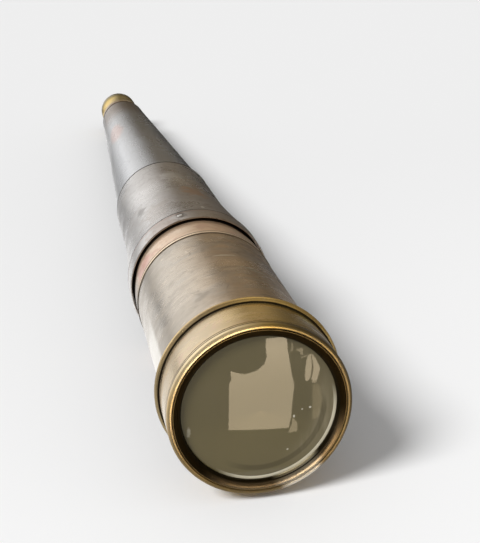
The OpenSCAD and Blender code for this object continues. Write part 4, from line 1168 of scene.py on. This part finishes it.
def soft_card(name, bearing, height, half_wide, half_high, strength, fade, tint):
    """A glowing card that faces the spyglass."""
    wide, high = (CARD_DISTANCE * math.tan(math.radians(half)) for half in (half_wide, half_high))
    bm = bmesh.new()
    bmesh.ops.create_grid(bm, x_segments=1, y_segments=1, size=0.5)
    bmesh.ops.scale(bm, vec=(2 * wide, 2 * high, 1), verts=bm.verts)
    card = new_object(name, bm)
    way = heading(bearing, height)
    card.location = CARD_CENTRE + way * CARD_DISTANCE
    face_from(card, way)
    mirrored_only(card, light_material(name, tint, strength, soft=((wide, fade[0]), (high, fade[1]))))


def floor_sheet(name, strength, above, tint, along, outlines):
    """Flat glowing sheets just above the leaning floor."""
    bm = bmesh.new()
    for outline in outlines:
        bm.faces.new([bm.verts.new((x * MM, y * MM, FLOOR_LEVEL + FLOOR_SLOPE * y * MM + above)) for x, y in outline])
    mirrored_only(new_object(name, bm), light_material(name, tint, strength, along=along))


class Stage(bpy.types.Operator):
    """Lays the pale floor, sets the lights and the surroundings, and places the camera"""
    bl_idname = "spyglass.stage"
    bl_label = "Stage, lights and camera"

    def execute(self, context):
        stage = context.scene.spyglass_stage
        bm = bmesh.new()
        bmesh.ops.create_grid(bm, x_segments=2, y_segments=2, size=FLOOR_HALF)
        lean = Matrix.Rotation(math.atan(FLOOR_SLOPE), 4, "X")
        bmesh.ops.transform(bm, matrix=Matrix.Translation((0, 0, FLOOR_LEVEL)) @ lean, verts=bm.verts)
        floor = new_object("floor", bm)
        f = Finish("pale_floor", 0.0, Roughness=0.9, Specular_IOR_Level=0.0)
        # The floor's colour is painted darker towards the back, as shade.
        far = [v * FAR_FLOOR_SHADE for v in stage.floor_colour]
        floor.data.materials.append(f.done(f.mix(f.stations(0.45, -0.30), far, stage.floor_colour)))

        world = bpy.data.worlds.new("soft_room")
        context.scene.world = world
        world.use_nodes = True
        n = Nodes(world.node_tree)
        back = n.tree.nodes["Background"]
        paths = n.add("ShaderNodeLightPath").outputs
        seen = paths["Is Glossy Ray"]
        n.plug(n.mix(seen, WHITE, stage.room_tint), back.inputs["Color"])
        n.plug(n.total(stage.fill, (seen, stage.mirrored_room - stage.fill),
                       (paths["Is Camera Ray"], stage.backdrop - stage.fill)), back.inputs["Strength"])

        sun = bpy.data.lights.new("key", "SUN")
        sun.energy = stage.key_power
        sun.angle = math.radians(stage.key_softness)
        lamp = bpy.data.objects.new("key", sun)
        context.scene.collection.objects.link(lamp)
        lamp.visible_glossy = False
        face_from(lamp, heading(stage.key_bearing, stage.key_height))

        for name, values in CARDS.items():
            soft_card(name, *values)
        for name, values in SHEETS.items():
            floor_sheet(name, *values)

        camera = bpy.data.cameras.new("photo_camera")
        camera.sensor_width = SENSOR
        camera.lens = FOCAL_PIXELS * SENSOR / FRAME_HEIGHT
        camera.clip_start, camera.clip_end = 0.01, 30.0
        view = bpy.data.objects.new("photo_camera", camera)
        context.scene.collection.objects.link(view)
        turn = Matrix((CAMERA_RIGHT, CAMERA_UP, CAMERA_BACK)).transposed().to_4x4()
        view.matrix_world = Matrix.Translation(CAMERA_PLACE) @ turn
        context.scene.camera = view
        context.scene.view_settings.view_transform = "Standard"
        return {"FINISHED"}


OPERATORS = (FrontRing, ObjectiveLens, FrontBand, ObjectiveTube, Collar, Mouth, Bell, Taper, Ferrule, EyeCup,
             DrawTube, InnerPieces, Stage)
GROUPS = {"spyglass_sizes": SpyglassSizes, "spyglass_finish": SpyglassFinish, "spyglass_stage": SpyglassStage}


class SpyglassPanel(bpy.types.Panel):
    """Lists the sizes, the finishes and the steps that make the spyglass"""
    bl_idname = "VIEW3D_PT_spyglass"
    bl_label = "Spyglass"
    bl_space_type = "VIEW_3D"
    bl_region_type = "UI"
    bl_category = "Spyglass"

    def draw(self, context):
        for group, kind in GROUPS.items():
            box = self.layout.box()
            for name in kind.__annotations__:
                box.prop(getattr(context.scene, group), name)
        for operator in OPERATORS:
            self.layout.operator(operator.bl_idname)


CLASSES = (*GROUPS.values(), *OPERATORS, SpyglassPanel)


def register():
    for item in CLASSES:
        bpy.utils.register_class(item)
    for group, kind in GROUPS.items():
        setattr(bpy.types.Scene, group, PointerProperty(type=kind))


def unregister():
    for group in GROUPS:
        delattr(bpy.types.Scene, group)
    for item in reversed(CLASSES):
        bpy.utils.unregister_class(item)


def main():
    register()
    make_groups()
    for operator in OPERATORS:
        family, name = operator.bl_idname.split(".")
        getattr(getattr(bpy.ops, family), name)()


if __name__ == "__main__":
    main()
